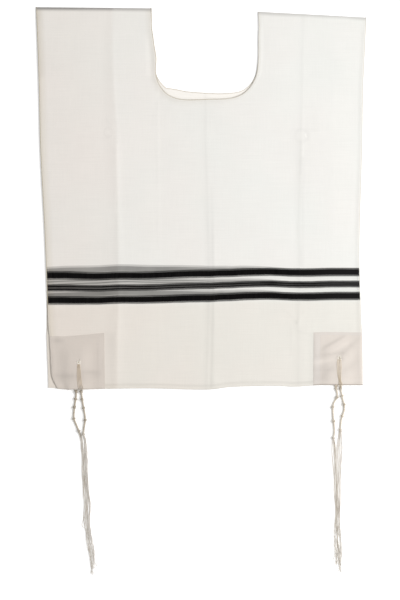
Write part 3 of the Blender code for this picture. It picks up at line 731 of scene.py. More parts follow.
# The cloth's outline and lines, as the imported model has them

outline = {
    # height, then the front's left and right edge and the back's
    "edges": [(-172, -250.5, 283, -266.4, 279), (-162, -255.7, 283, -266.7, 279),
        (-150, -260.9, 283, -267.1, 279), (-123, -262.7, 282.9, -268, 278.9),
        (-80, -264.7, 282.2, -269.7, 278.6), (-60, -266.5, 281.2, -269.7, 278.4),
        (-10, -268.7, 279.2, -269.4, 277.8), (22, -269.9, 278.2, -269.9, 277.7),
        (57, -271.1, 277.5, -271.1, 277.5), (113, -273.4, 278.2, -273.4, 278.2),
        (246, -280.4, 282.2, -280.4, 282.2), (352, -282.8, 283.9, -282.8, 283.9),
        (403, -284.4, 286.2, -284.4, 286.2), (495, -287.9, 290.6, -287.9, 290.6)],
    "sideAtHem": {"left": -262.0, "right": 283.0},
    "hem": [(-262, -171.6), (-230, -173), (-165, -171.6), (-90, -170.8), (12, -173), (55, -168.4),
        (130, -166.6), (165, -168), (212, -165), (284, -165.4)],
    "backHemShort": 1.6,
    "fold": [(-288, 495.7), (-229, 495.4), (-159, 494.8), (-123, 494.3), (-88, 493.8), (107, 487.6),
        (130, 486.1), (157, 485.2), (183, 484.4), (209, 483), (235, 482.2), (253, 481.2), (265, 479.7),
        (276, 478.8), (290, 477.6)],
    "neckCentre": 6.6, "neckLean": 3.0, "neckHalf": 93.8, "neckTop": 490.0, "neckCorner": 0.9,
    "neckPower": {"front": {"left": 4.4, "right": 4.0}, "back": {"left": 6.0, "right": 4.0}},
    "neckBottom": {      # from the left end of the curve to the right
        "front": [(-1, 335), (-0.85, 334.4), (-0.7, 334), (-0.4, 333.3), (0, 334.7), (0.3, 335),
            (0.7, 335.4), (1, 337)],
        "back": [(-1, 357.5), (-0.9, 355.8), (-0.81, 352.5), (-0.76, 350.4), (-0.67, 351.6), (-0.55, 351.3),
            (-0.35, 348.2), (0.17, 345), (0.44, 344.4), (0.7, 341.9), (1, 341)],
    },
    "neckAtHem": {"left": -72.0, "middle": 17.0, "right": 99.6},
}
edgeColumn = {("front", "left"): 1, ("front", "right"): 2, ("back", "left"): 3, ("back", "right"): 4}


def edge(panel, side, y):
    return lookup(outline["edges"], y, edgeColumn[panel, side])


def hemHeight(panel, x):
    return lookup(outline["hem"], x) + (outline["backHemShort"] if panel == "back" else 0.0)


def foldHeight(x):
    return lookup(outline["fold"], x) - garment["foldRadius"]


def neckDepth(panel, share):
    return outline["neckTop"] - lookup(outline["neckBottom"][panel], share)


def neckMiddle(down):
    return outline["neckCentre"] + outline["neckLean"] * (1 - (1 - down) ** 2)


# how far the neck's edge wavers from its line: height, then left and right, outwards from the hole
neckWaver = {
    "front": [(340, 0, 0.3), (352, 0, 0.8), (361, 0.2, 1.1), (368.5, 0.1, 1.4), (375.5, -0.2, 1.6),
        (382.5, -1.1, 1.4), (389.5, -2.5, 0.9), (396.5, -4.2, 0.4), (403.5, -5.4, 0), (410.5, -5.6, -0.3),
        (417.5, -4.8, -0.6), (431.5, -3.4, -1), (445.5, -1.9, -0.9), (459.5, -0.6, 0), (480, -0.9, 0)],
    "back": [(340, 0, 0.2), (352, 0, 0.6), (361, 0, 0.9), (368.5, 0, 1.2), (375.5, -0.1, 1.4),
        (382.5, -0.6, 1.1), (389.5, -1.8, 0.6), (396.5, -3.8, 0.2), (403.5, -5.6, 0), (410.5, -5.8, -0.2),
        (417.5, -5.2, -0.4), (431.5, -3, -1.3), (445.5, -2.1, -0.6), (459.5, -0.3, 0.2), (480, -0.6, 0)],
}


waverColumn = {"left": 1, "right": 2}


def neckSide(panel, side, y):
    # x of the neck's edge at a height
    power, sign = outline["neckPower"][panel][side], signOf(side)
    down = clamp((outline["neckTop"] - y) / neckDepth(panel, sign * outline["neckCorner"]))
    x = neckMiddle(down) + sign * outline["neckHalf"] * (1 - down ** power) ** (1 / power)
    return x + sign * lookup(neckWaver[panel], y, waverColumn[side])


def neckFloor(panel, share):
    # x and y of the neck's lower edge, from -1 at its left end to 1 at its right
    side = "right" if share > 0 else "left"
    power = outline["neckPower"][panel][side]
    down = (1 - abs(share) ** power) ** (1 / power)
    y = outline["neckTop"] - down * neckDepth(panel, share)
    waver = lookup(neckWaver[panel], y, waverColumn[side]) * ease(abs(share), 0.5, outline["neckCorner"])
    return neckMiddle(down) + share * outline["neckHalf"] + waver * math.copysign(1, share), y


garment = {
    "base": 1.8,            # underside of the front panel
    "wall": 1.0,            # to its top
    "skin": 0.6,            # thickness of the cloth that shows
    "hemWidth": 5.0, "hemRaise": 0.38, "backHemRaise": 0.25, "rimRound": 0.16,
    "foldRadius": 1.4, "foldSteps": 8,
    "cell": 5.0,
    "backPatchLift": 1.3, "frontPatchLift": 0.8, "backLaneLift": 1.6, "frontLaneLift": 2.9,
    "backClear": 0.12,      # the back's cut edges stay this far off the floor
    "wave": 0.34, "ripple": 0.12, "waveSeed": {"front": 3.7, "back": 31.3},
    "waveLength": (95, 150), "rippleLength": (21, 120),
    "backLevel": 0.16, "backWave": 0.5, "laneWave": 0.35, "deepest": 0.45,
    "calm": (0.72, 0.97),   # shares of the strips between which the cloth becomes level for the fold
    "edgeStep": 0.7,
    "hemSteps": (0.0, 0.9, 2.2, 3.6, 4.9, 6.2),
    "eyeletHeight": 47.5, "eyeletRadius": 3.0,
    # lines from the hem to the neck: how far in at the hem and at the neck, and the front's rise
    "left": [(0, 0, 0.2), (6.2, 6.2, 0.2), (36, 37, 0.8), (45.5, 47, 1), (55, 57, 1.2), (76, 82, 1.7),
        (94.5, 108, 2.1), (116, 133, 2.6), (150, 164, 1.9), (190, 208.3, 1.2)],
    "right": [(0, 0, 0.2), (6.2, 6.2, 0.3), (37, 36, 0.9), (46.5, 45, 1), (56, 54, 1.1), (70, 68, 0.9),
        (86.5, 84, 0.6), (115, 104, 0.3), (146, 148, 0.35), (183.4, 190.7, 0.15)],
    "creaseAt": {"left": 116.0, "right": 115.0}, "creaseSteps": (-6.5, -4, -2, 0, 2, 4, 6.5),
    # heights between which a line makes up its own length, and how far in it follows the side and the neck
    "stretch": (330.0, 514.8), "besideEdge": (36.0, 6.2), "besideNeck": (110.0, 6.2),
    "patchEdge": {"left": 94.5, "right": 86.5},
    "patchTop": 92.0, "patchEnd": 104.0,      # the squares' height, and where the cloth is level again
    "wideBeyond": (18.0, 8.0), "wideTop": (122.0, 98.0),      # the front's rise round a square
    "lane": {"left": (36.0, 55.0), "right": (37.0, 56.0)},
    "laneSlopes": (24.0, 21.0), "laneTop": (90.0, 56.0),
    "eyelet": {("front", "left"): 50.25, ("back", "left"): 40.75,
               ("front", "right"): 41.75, ("back", "right"): 51.25},
    "neckRise": {"left": 1.0, "middle": 0.1, "right": 0.15},
    "neckCells": 40, "neckCrowding": 1.5,
    "rowShare": [(0, 0.5), (24, 0.6), (56, 0.8), (92, 1), (148, 0.85), (206, 0.95), (258, 1), (310, 0.9),
        (362, 0.8), (414, 0.9), (462, 0.9), (521, 0.8)],
    "stripShare": [(0, 0.8), (0.05, 0.85), (0.15, 0.9), (0.28, 0.85), (0.43, 0.7), (0.6, 0.5), (0.79, 0.3),
        (1, 0)],
    "stripRows": 28, "stripCrowding": 1.3,
    "fullHeight": 521.0,
}

# press creases and puckers. A run is (y, x) and its height (y, mm);
# a ridge is above 0 and a trough below it.
creases = {
    "front": [
        {"run": [(-170, -146), (-95, -145.3), (-39, -144), (60, -143.8), (137, -144.9), (225, -146.8),
            (312, -149.4), (395, -153.6), (490, -155)], "reach": (15.0, 4.5),
         "height": [(-172, 0.3), (-120, 0.55), (-40, 0.95), (20, 0.7), (90, 0.95), (150, 0.7), (205, 1.1),
             (262, 0.75), (310, 0.35), (360, 0.5), (400, 0.3), (470, 0.1)]},
        {"run": [(60, -163), (250, -169), (300, -170), (490, -171)], "reach": (6.0, 6.0),
         "height": [(120, 0), (230, -0.15), (290, -0.4), (380, -0.25), (450, -0.3), (480, 0)]},
        {"run": [(-172, 9.5), (-120, 11), (-60, 13), (10, 13.5), (94, 12.6), (137, 11.8), (181, 10.5),
            (268, 8.6), (334, 8.2)], "reach": (3.0, 3.6),
         "height": [(-172, 0.45), (-120, 0.6), (-70, 0.4), (0, 0.5), (60, 0.35), (110, 0.5), (180, 0.3),
             (260, 0.5), (334, 0.2)]},
        {"run": [(-172, 22.5), (-60, 22.5), (10, 22.5), (94, 21), (137, 20), (200, 26)], "reach": (3.4, 5.0),
         "height": [(-172, 0.55), (-120, 0.35), (-60, 0.6), (0, 0.4), (60, 0.7), (110, 0.45), (160, 0.25),
             (200, 0)]},
        {"run": [(-172, 1), (-80, -1), (60, 0), (200, 2)], "reach": (16.0, 10.0),
         "height": [(-172, 0.3), (-110, 0.45), (-40, 0.2), (40, 0.35), (110, 0.2), (200, 0)]},
        {"run": [(-167, 170), (-60, 171), (60, 173), (130, 172.7), (225, 174.5), (330, 177), (490, 179)],
         "reach": (4.0, 4.0),
         "height": [(-167, 0), (-110, 0.03), (-70, 0.08), (-52, 0.4), (0, 0.2), (50, 0.4), (120, 0.6),
             (180, 0.5), (225, 0.8), (262, 0.4), (330, 0.2), (400, 0.35), (450, 0.1)]},
    ],
    "back": [
        {"run": [(-170, -143), (100, -147), (490, -152)], "reach": (5.0, 5.0),
         "height": [(-170, 0.1), (-90, 0.5), (0, 0.3), (110, 0.55), (240, 0.25), (340, 0.5), (470, 0.1)]},
        {"run": [(-170, 15), (100, 12), (345, 9)], "reach": (5.0, 5.0),
         "height": [(-170, 0.2), (-100, 0.6), (10, 0.35), (90, 0.6), (200, 0.3), (300, 0.5), (345, 0.1)]},
        {"run": [(-167, 170), (100, 172), (490, 178)], "reach": (4.5, 4.5),
         "height": [(-167, 0.1), (-60, 0.45), (40, 0.6), (140, 0.3), (260, 0.55), (380, 0.35), (470, 0.1)]},
    ],
}
# creases that run across: (x, y) and (x, mm)
crossCreases = {
    "front": [
        {"run": [(-285, 271), (-160, 274), (0, 270), (178, 270), (283, 273)], "reach": 5.0,
         "height": [(-285, 0.05), (-220, 0.14), (-160, 0.28), (-90, 0.1), (0, 0.18), (90, 0.07), (178, 0.3),
             (240, 0.12), (283, 0)]},
        {"run": [(-266, -52), (-146, -54), (15, -57), (168, -55), (278, -52)], "reach": 5.0,
         "height": [(-266, 0), (-200, 0.08), (-146, 0.16), (-60, 0.05), (15, 0.2), (100, 0.06), (168, 0.3),
             (230, 0.1), (278, 0)]},
    ],
    "back": [
        {"run": [(-285, 268), (0, 273), (283, 270)], "reach": 5.0,
         "height": [(-285, 0), (-150, 0.3), (-30, 0.1), (60, 0.22), (178, 0.3), (283, 0)]},
        {"run": [(-266, -58), (15, -52), (278, -57)], "reach": 5.0,
         "height": [(-266, 0), (-150, 0.25), (15, 0.12), (120, 0.3), (220, 0.1), (278, 0)]},
    ],
}
# little rings where a pressed-in fold sprang back: x, y, half width, half height, mm
puckers = {
    "front": [(-164.7, 275.7, 8.5, 8.5, 0.4), (180, 270.5, 12, 10, 0.38), (10, 268, 6, 8, 0.25)],
    "back": [(-150, 268, 8, 10, 0.45), (175, 270, 9, 7, 0.45)],
}
# short slanting creases: start, end, reach and mm
slants = {
    "front": [((168, -60), (154, -40), 4.5, 0.32), ((168, -60), (177, -40), 4.5, 0.3),
        ((165, -64), (188, -72), 4, 0.35), ((157, -64), (158, -98), 3.4, 0.3),
        ((-146, -56), (-157, -44), 4.5, 0.4), ((193, 272), (214, 275), 4, 0.4),
        ((180, 259), (178, 246), 4, 0.4), ((-205, 236), (-160, 262), 6, 0.2),
        ((120, 60), (155, 92), 6, 0.18), ((30, -120), (70, -95), 7, 0.2), ((-60, 40), (-25, 75), 7, 0.16),
        ((-80, 328), (-68, 345), 4, -0.45), ((-86, 372), (-96, 392), 4, 0.4),
        ((-60, 318), (-40, 326), 4.5, 0.3), ((96, 345), (110, 352), 5, 0.3),
        ((-78, 392), (-84, 412), 4.5, 0.5), ((18, -150), (32, -168), 5, 0.4),
        ((-92, -160), (-60, -150), 6, 0.3)],
    "back": [((150, -60), (190, -48), 5, 0.4), ((-170, 240), (-130, 262), 6, 0.3),
        ((20, -110), (60, -90), 7, 0.3)],
}


def creaseHeight(panel, x, y):
    # total height of the creases at a place
    total = 0.0
    for crease in creases[panel]:
        away = x - lookup(crease["run"], y)
        away = abs(away) / crease["reach"][0 if away < 0 else 1]
        if away < 3.0 and crease["height"][0][0] <= y <= crease["height"][-1][0] + 20:
            total += lookup(crease["height"], y) * math.exp(-away ** 1.5 * 1.4)
    for crease in crossCreases[panel]:
        away = abs(y - lookup(crease["run"], x)) / crease["reach"]
        if away < 3.0:
            total += lookup(crease["height"], x) * math.exp(-away ** 1.5 * 1.4)
    for px, py, wide, high, height in puckers[panel]:
        ring = math.hypot((x - px) / wide, (y - py) / high)
        if ring < 3.0:
            total += height * math.exp(-((ring - 1.0) / 0.4) ** 2)
    return total + streaks(slants[panel], x, y, 2)


class Column:
    # a line of the cloth from a hem up to the neck, and on to the fold where it is in a strip
    def __init__(self, side, atHem, atNeck, rise, neckShare=None, fromNeck=None):
        self.side, self.sign, self.inStrip = side, signOf(side), neckShare is None
        self.atHem, self.atNeck, self.rise = atHem, atNeck, rise
        self.neckShare, self.fromNeck = neckShare, fromNeck
        self.ends = {panel: self.measure(panel) for panel in facing}

    def measure(self, panel):
        # x and y at the hem and at the neck, how far in it lies there, and the strip's width
        if not self.inStrip:
            return self.atHem, hemHeight(panel, self.atHem), *neckFloor(panel, self.neckShare), 0.0, 0.0
        cornerX, cornerY = neckFloor(panel, self.sign * outline["neckCorner"])
        low = edge(panel, self.side, cornerY)
        width = abs(cornerX - low)
        inset = self.atNeck if self.fromNeck is None else width - self.fromNeck
        xHem = outline["sideAtHem"][self.side] - self.sign * self.atHem
        return xHem, hemHeight(panel, xHem), low - self.sign * inset, cornerY, inset, width

    def below(self, panel, height):
        # x and y at a height above the hem, up to the neck
        xHem, yHem, xNeck, yNeck, inset, _ = self.ends[panel]
        y = yHem + height + (yNeck - yHem - garment["fullHeight"]) * ease(height, *garment["stretch"])
        t = (y - yHem) / (yNeck - yHem)
        x = mix(xHem, xNeck, t)
        if self.inStrip:
            straight = mix(outline["sideAtHem"][self.side], xNeck + self.sign * inset, t)
            x += (edge(panel, self.side, y) - straight) * ease(self.atHem, *garment["besideEdge"])
        return x, y

    def beside(self, panel, share):
        # x and y beside the neck, at a share of the way to the fold
        yNeck, inset, width = self.ends[panel][3:]
        side, sign, top = self.side, self.sign, outline["neckTop"]
        yTop = mix(foldHeight(edge(panel, side, top)), foldHeight(neckSide(panel, side, top)), inset / width)
        y = mix(yNeck, yTop, share)
        follow = ease(width - inset, *garment["besideNeck"])
        x = edge(panel, side, y) - sign * inset
        return x + follow * (neckSide(panel, side, y) - (edge(panel, side, y) - sign * width)), y


def stripLine(side, atHem):
    table = garment[side]
    return Column(side, atHem, lookup(table, atHem), lookup(table, atHem, 2))


def stripColumns(side):
    full, rise = garment[side][-1][0], garment[side][-1][2]
    radius, crease = garment["eyeletRadius"], garment["creaseAt"][side]
    eyes = sorted(garment["eyelet"][panel, side] for panel in facing)
    fixed = [eye + d for eye in eyes for d in (-radius, 0, radius)]
    fixed += [crease + d for d in garment["creaseSteps"]]
    steps = garment["hemSteps"]
    places = stations(steps, fixed, full, garment["cell"])[:-len(steps)]
    return ([stripLine(side, place) for place in places]
            + [Column(side, full - inset, 0.0, rise, fromNeck=inset) for inset in reversed(steps)])


def neckColumns():
    found = []
    cells, rises, atHem = garment["neckCells"], garment["neckRise"], outline["neckAtHem"]
    for k in range(1, cells):
        t = 2 * k / cells - 1
        t = mix(t, t * abs(t), 0.25)       # closer together at the middle crease
        side = "left" if t < 0 else "right"
        away = (1 - (1 - abs(t)) ** garment["neckCrowding"]) * outline["neckCorner"]
        found.append(Column(side, mix(atHem["middle"], atHem[side], abs(t)), 0.0,
                            mix(rises["middle"], rises[side], abs(t)), math.copysign(away, t)))
    return found


leftColumns, middleColumns, rightColumns = stripColumns("left"), neckColumns(), stripColumns("right")[::-1]
columns = leftColumns + middleColumns + rightColumns
neckLeft, neckRight = len(leftColumns) - 1, len(leftColumns) + len(middleColumns)


eye, radius = garment["eyeletHeight"], garment["eyeletRadius"]
marks = [eye - radius, eye, eye + radius, garment["patchTop"], garment["patchEnd"]]
rows = stations(garment["hemSteps"], marks, garment["fullHeight"], garment["cell"])
neckRow = len(rows) - 1
topRow = neckRow + garment["stripRows"]
clothRows = 2 * topRow + garment["foldSteps"]
print(f"cloth grid: {len(columns)} columns, {clothRows + 1} rows")


def stripPlace(j):
    return ((j - neckRow) / garment["stripRows"]) ** garment["stripCrowding"]


def planAt(panel, column, j):
    if j <= neckRow:
        return column.below(panel, rows[j])
    return column.beside(panel, stripPlace(j))


def laneShare(column, height):
    # how much of the full lift over the strings a place has
    if not column.inStrip:
        return 0.0
    (low, high), (before, beyond) = garment["lane"][column.side], garment["laneSlopes"]
    a = column.atHem
    return ease(a, low - before, low) * ease(a, high + beyond, high) * ease(height, *garment["laneTop"])


def lifts(panel, column, height, share):
    # how far a panel's lower side is above its level, from what lies under it
    patchEdge, crease = garment["patchEdge"][column.side], garment["creaseAt"][column.side]
    near = column.inStrip and share == 0.0
    lane = laneShare(column, height) if near else 0.0
    corner = wide = 0.0
    if near:
        level, top = garment["patchEnd"], garment["patchTop"]
        corner = ease(column.atHem, crease, patchEdge) * ease(height, level, top)
        start, end = garment["wideBeyond"]
        wide = ease(column.atHem, crease + start, patchEdge + end) * ease(height, *garment["wideTop"])
    if panel == "back":
        return garment["backPatchLift"] * corner + garment["backLaneLift"] * lane
    rise = lookup(garment["stripShare"], share) if share else lookup(garment["rowShare"], height)
    return (garment["frontPatchLift"] * wide + column.rise * rise * (1 - corner)
            + garment["frontLaneLift"] * lane)


def waves(panel, x, y):
    seed, wave, ripple = garment["waveSeed"][panel], garment["waveLength"], garment["rippleLength"]
    slow = noise.noise(Vector((x / wave[0], y / wave[1], seed)))
    fine = noise.noise(Vector((x / ripple[0], y / ripple[1], seed + 9)))
    return garment["wave"] * slow + garment["ripple"] * fine


def shellHeights(panel, column, height, share, x, y, inset):
    # outer and inner side of the thin cloth at a place
    lift, crease = lifts(panel, column, height, share), creaseHeight(panel, x, y)
    calm = 1 - ease(share, *garment["calm"])
    hem = ease(inset, garment["hemWidth"] + 0.9, garment["hemWidth"] - 0.4) * calm
    rim = garment["rimRound"] * ease(inset, 0.9, 0.0) * calm
    skin = garment["skin"]
    if panel == "back":
        level = garment["backLevel"] + garment["backWave"] * waves(panel, x, y) + max(crease, 0)
        low = lift + level * calm
        low = max(low, garment["backClear"] * calm)
        return low + rim, low + skin + hem * garment["backHemRaise"] - rim
    quiet = mix(1.0, garment["laneWave"], laneShare(column, height) if share == 0 else 0)
    low = garment["base"] + lift + (waves(panel, x, y) * quiet + crease) * calm
    low = max(low, garment["base"] - garment["deepest"])
    top = low + garment["wall"] + hem * garment["hemRaise"]
    return top - rim, low + garment["wall"] - skin + rim


# The stripes: the middle of the three bands, their pitch, and how far the back's are above the front's
stripes = {
    "middle": [(-264, 4.65), (-237, 4.85), (-219, 4.5), (-193, 4.1), (-175, 4.2), (-158, 5), (-140, 5.6),
        (-105, 5.45), (-70, 6.3), (-35, 7.6), (0, 8.4), (17, 8.45), (35, 9.5), (52, 9.8), (70, 10.8),
        (104, 11.8), (122, 12), (157, 10.95), (192, 10.9), (227, 11.8), (270, 11.8)],
    "pitch": [(-264, 21.7), (-228, 21.7), (-193, 21.15), (-88, 21), (0, 21.3), (35, 21.05), (104, 20.8),
        (174, 21), (270, 20.8)],
    "backAbove": [(-269, 7.9), (-246, 8.8), (-229, 9.6), (-194, 11.4), (-159, 12.2), (-124, 12.1),
        (-89, 10.9), (-45, 9.1), (-1, 7), (42, 5.6), (86, 4.2), (130, 1.4), (174, -0.9), (270, -1)],
}


def bandPlace(panel, x, y):
    middle = lookup(stripes["middle"], x) + (lookup(stripes["backAbove"], x) if panel == "back" else 0.0)
    return (y - middle) * woolLook["pitch"] / lookup(stripes["pitch"], x)


# The garment's cloth

def panelEdges(panel):
    # a panel's left and right edge, hem and neck in plan, with the cloth on the left seen from above
    return [
        [planAt(panel, columns[0], j) for j in range(topRow, -1, -1)],
        [planAt(panel, columns[-1], j) for j in range(topRow + 1)],
        [planAt(panel, column, 0) for column in columns],
        [planAt(panel, columns[neckRight], j) for j in range(topRow, neckRow, -1)]
        + [planAt(panel, columns[i], neckRow) for i in range(neckRight, neckLeft, -1)]
        + [planAt(panel, columns[neckLeft], j) for j in range(neckRow, topRow + 1)],
    ]


def edgeTree(panel):
    # points close together along a panel's cut edges
    left, right, hem, neck = panelEdges(panel)
    points = []
    for path in (left[::-1], right, hem, neck[::-1]):
        for a, b in zip(path, path[1:]):
            a, b = Vector((*a, 0)), Vector((*b, 0))
            count = max(1, round((b - a).length / garment["edgeStep"]))
            points += [a.lerp(b, n / count) for n in range(count)]
    tree = kdtree.KDTree(len(points))
    for k, point in enumerate(points):
        tree.insert(point, k)
    tree.balance()
    return tree


edgeTrees = {panel: edgeTree(panel) for panel in facing}
farAway = 500.0         # stands for no band and no side edge near


def outward(s):
    # the way the cloth's outer side looks, in a row of the whole length
    turn = math.pi / 2 - math.pi * clamp((s - topRow) / garment["foldSteps"])
    return Vector((0, math.cos(turn), math.sin(turn)))


# where the left third's painted shade, yellower and a little darker, starts and grows from its crease, and
# the painted shade that grows slowly over the whole width towards the left
leftThird = {"starts": (4.5, -4.0), "grows": (-20.0, -90.0), "strength": (0.38, 0.54),
             "whole": 0.5, "half": 170}


def leftShade(x, y):
    # painted shade: the left third, and slowly the whole left side, are drawn yellower and a little darker
    crease, look = lookup(creases["front"][0]["run"], y), leftThird
    starts, grows = (ease(x, *(crease + away for away in look[name])) for name in ("starts", "grows"))
    return starts * mix(*look["strength"], grows) + look["whole"] * ease(x, look["half"], -look["half"])


def clothPoint(i, s):
    # outer and inner point, and what the finish reads there
    column, steps, radius = columns[i], garment["foldSteps"], garment["foldRadius"]
    panel = "front" if s < topRow + steps else "back"
    overFold = topRow < s < topRow + steps
    j = clothRows - s if panel == "back" else min(s, topRow)
    x, y = planAt(panel, column, j)
    inset = edgeTrees[panel].find((x, y, 0))[2]
    if overFold:
        centre, inside = Vector((x, y, radius)), radius - garment["skin"]
        outer, inner = (centre + outward(s) * out for out in (radius, inside))
        facts = {"fromFold": -radius * (s - topRow) * math.pi / steps}
        facts["ownBand"] = facts["behindBand"] = farAway
    else:
        height, share = (rows[j], 0.0) if j <= neckRow else (garment["fullHeight"], stripPlace(j))
        outer, inner = (Vector((x, y, z)) for z in shellHeights(panel, column, height, share, x, y, inset))
        fromFold = foldHeight(x) - y
        facts = {"fromFold": fromFold if panel == "front" else -fromFold - math.pi * radius,
                 "ownBand": bandPlace(panel, x, y),
                 "behindBand": bandPlace("back" if panel == "front" else "front", x, y)}
    facts["along"] = foldHeight(x) - facts["fromFold"]
    facts["edgeInset"] = inset
    facts["leftShade"] = leftShade(x, y)
    for name, number, sign in (("fromLeft", 0, -1), ("fromMiddle", 2, 1), ("fromRight", 5, 1)):
        facts[name] = sign * (x - lookup(creases["front"][number]["run"], y))
    facts["alone"] = 0.0
    if panel == "back" and not column.inStrip:
        neck = neckFloor("front", column.neckShare)[1]
        facts["alone"] = ease(y, neck - 3.0, neck + 1.0)
    return outer, inner, x, facts


def roundHole(outer, inner, centre, radius):
    # moves the corners of a square opening onto its circle
    for point in (outer, inner):
        way = Vector((point.x - centre[0], point.y - centre[1]))
        if way.length > 0.1:
            way *= radius / way.length
            point.x, point.y = centre[0] + way.x, centre[1] + way.y


def shell(name, cells, points, material, facts, uvs):
    # a closed thin wall over the cells: outer skin, inner skin and the rim between them
    keys = sorted({key for cell in cells for key in cell})
    number = {key: k for k, key in enumerate(keys)}
    inside = len(keys)
    places = [points[key][layer] * mm for layer in (0, 1) for key in keys]
    faces, rims = [], set()
    for cell in cells:
        a, b, c, d = (number[key] for key in cell)
        faces += [(a, b, c, d), (inside + d, inside + c, inside + b, inside + a)]
        rims |= {(a, b), (b, c), (c, d), (d, a)}
    faces += [(b, a, inside + a, inside + b) for a, b in sorted(rims) if (b, a) not in rims]
    mesh = bpy.data.meshes.new(name)
    mesh.from_pydata(places, [], faces)
    mesh.materials.append(material)
    mesh.shade_smooth()
    mesh.set_sharp_from_angle(angle=math.radians(70))
    for label, values in facts.items():
        layer = mesh.attributes.new(label, "FLOAT", "POINT")
        layer.data.foreach_set("value", [values[key] for key in keys] * 2)
    layer = mesh.uv_layers.new(name="cloth")
    loops = [0] * len(mesh.loops)
    mesh.loops.foreach_get("vertex_index", loops)
    layer.uv.foreach_set("vector", [part * mm for k in loops for part in uvs[keys[k % inside]]])
    return linked(name, mesh)


def eyeletPlace(panel, side):
    # x and y of a corner's eyelet
    return stripLine(side, garment["eyelet"][panel, side]).below("front", garment["eyeletHeight"])


def eyeletBlock(panel, side):
    # the grid numbers of an eyelet's middle
    own = [column.atHem if column.side == side and column.inStrip else farAway for column in columns]
    i, j = nearest(own, garment["eyelet"][panel, side]), nearest(rows, garment["eyeletHeight"])
    return i, j if panel == "front" else clothRows - j


def makeGarment():
    holes = {eyeletBlock(*corner): eyeletPlace(*corner) for corner in corners}
    cells = []
    for i in range(len(columns) - 1):
        inStrip = i < neckLeft or i >= neckRight
        for s in range(clothRows):
            inNeck = not inStrip and neckRow <= s < clothRows - neckRow
            if not inNeck and not any(hi - 1 <= i <= hi and hs - 1 <= s <= hs for hi, hs in holes):
                cells.append(((i, s), (i + 1, s), (i + 1, s + 1), (i, s + 1)))
    points, uvs, values = {}, {}, {}
    for key in {key for cell in cells for key in cell}:
        outer, inner, x, found = clothPoint(*key)
        points[key] = (outer, inner)
        uvs[key] = (x, found.pop("along"))
        for name, value in found.items():
            values.setdefault(name, {})[key] = value
    for (hi, hs), centre in holes.items():
        for di, ds in ((-1, -1), (-1, 0), (-1, 1), (0, -1), (0, 1), (1, -1), (1, 0), (1, 1)):
            roundHole(*points[hi + di, hs + ds], centre, garment["eyeletRadius"])
    return shell("garmentCloth", cells, points, wool, values, uvs)


garmentCloth = makeGarment()
declare(garmentCloth, "wool", "garment_cloth")
clothTree = BVHTree.FromObject(garmentCloth, bpy.context.evaluated_depsgraph_get())


def dropped(tree, panel, flat, lift=0.0):
    # a plan point put on the outer side of a panel
    x, y, sign = flat[0] * mm, flat[1] * mm, facing[panel]
    way = Vector((0, 0, -sign))
    hit = tree.ray_cast(Vector((x, y, 0.05 * sign)), way)[0]
    if hit is None:
        hit = tree.find_nearest(Vector((x, y, 0.006 if panel == "front" else 0.0)))[0]
    return hit / mm - way * lift


# The four sewn-on squares
square = {
    "step": 2.6,
    "gap": 0.06, "thick": 0.42, "rimThin": 0.4, "turned": 0.12, "turnedSide": 12.0, "turnedTop": 5.0,
    "topRise": {("front", "left"): 5.6, ("front", "right"): 0.6,
                ("back", "left"): 1.5, ("back", "right"): 2.0},
    "bulge": 0.15,
    "rimSteps": (0.0, 0.7, 1.8, 3.2),
    "darkness": {("front", "left"): 1.0, ("front", "right"): 0.0,
                 ("back", "left"): 0.8, ("back", "right"): 0.3},
    # raised wrinkles: start, end, reach and mm
    "wrinkles": {
        ("front", "right"): [((212, -106), (254, -81), 3.2, 1.1), ((208, -119), (246, -112), 2.8, 0.7),
            ((214, -138), (256, -104), 5.5, 0.6), ((226, -146), (272, -102), 5, 0.4),
            ((206, -140), (232, -128), 5, 0.3)],
        ("front", "left"): [((-256, -92), (-226, -88), 4, 0.3), ((-258, -105), (-258, -150), 2.2, 0.45),
            ((-226, -136), (-176, -138), 6, 0.2), ((-206, -112), (-182, -98), 4, 0.25),
            ((-214, -128), (-226, -160), 3, 0.3), ((-246, -160), (-222, -152), 3.5, 0.25)],
        ("back", "left"): [((-250, -95), (-205, -88), 4, 0.3), ((-240, -140), (-190, -133), 5, 0.3)],
        ("back", "right"): [((200, -100), (240, -90), 3.5, 0.35), ((215, -140), (262, -132), 5, 0.3)],
    },
    # painted shade along wrinkles and edges, and below 0 painted light: start, end, reach and strength
    "shades": {
        ("front", "right"): [((213, -101), (251, -79), 2.8, 0.085), ((222, -111), (262, -88), 3.5, -0.04),
            ((200, -115), (246, -108), 2.6, 0.06), ((196, -126), (232, -121), 4, -0.075),
            ((214, -150), (262, -98), 6, 0.05), ((198, -138.5), (238, -137.5), 3.4, 0.045),
            ((197, -152), (222, -152), 9, 0.05), ((242, -114), (276, -84), 5, 0.07),
            ((244, -146), (276, -122), 8, 0.05), ((196.5, -80), (196.5, -164), 3.4, 0.03),
            ((279.8, -76), (281, -162), 2.6, -0.085), ((274.5, -78), (276, -160), 2.2, 0.035),
            ((244, -111), (252, -109), 3, 0.05)],
        ("front", "left"): [((-256, -149), (-208, -150), 5.5, 0.085), ((-258, -150), (-258, -110), 4, 0.03),
            ((-258, -87), (-242, -88), 3.6, 0.09), ((-210, -142), (-178, -144), 4, 0.08),
            ((-204, -120), (-176, -118), 9, -0.012), ((-206, -154), (-176, -148), 6, 0.03),
            ((-179.5, -84), (-180.5, -160), 1.6, 0.03), ((-172, -140), (-171, -116), 3, 0.035)],
        ("back", "left"): [((-240, -110), (-190, -96), 6, 0.04)],
        ("back", "right"): [((206, -140), (256, -112), 7, 0.05)],
    },
    "shading": 1.35,
    # little bulges of the front right square: x, y, reach and mm
    "spots": [(201, -86.5, 3, 0.3), (202, -97, 2.6, 0.25), (201.5, -106, 2.8, 0.3), (202.5, -115, 2.4, 0.2)],
}


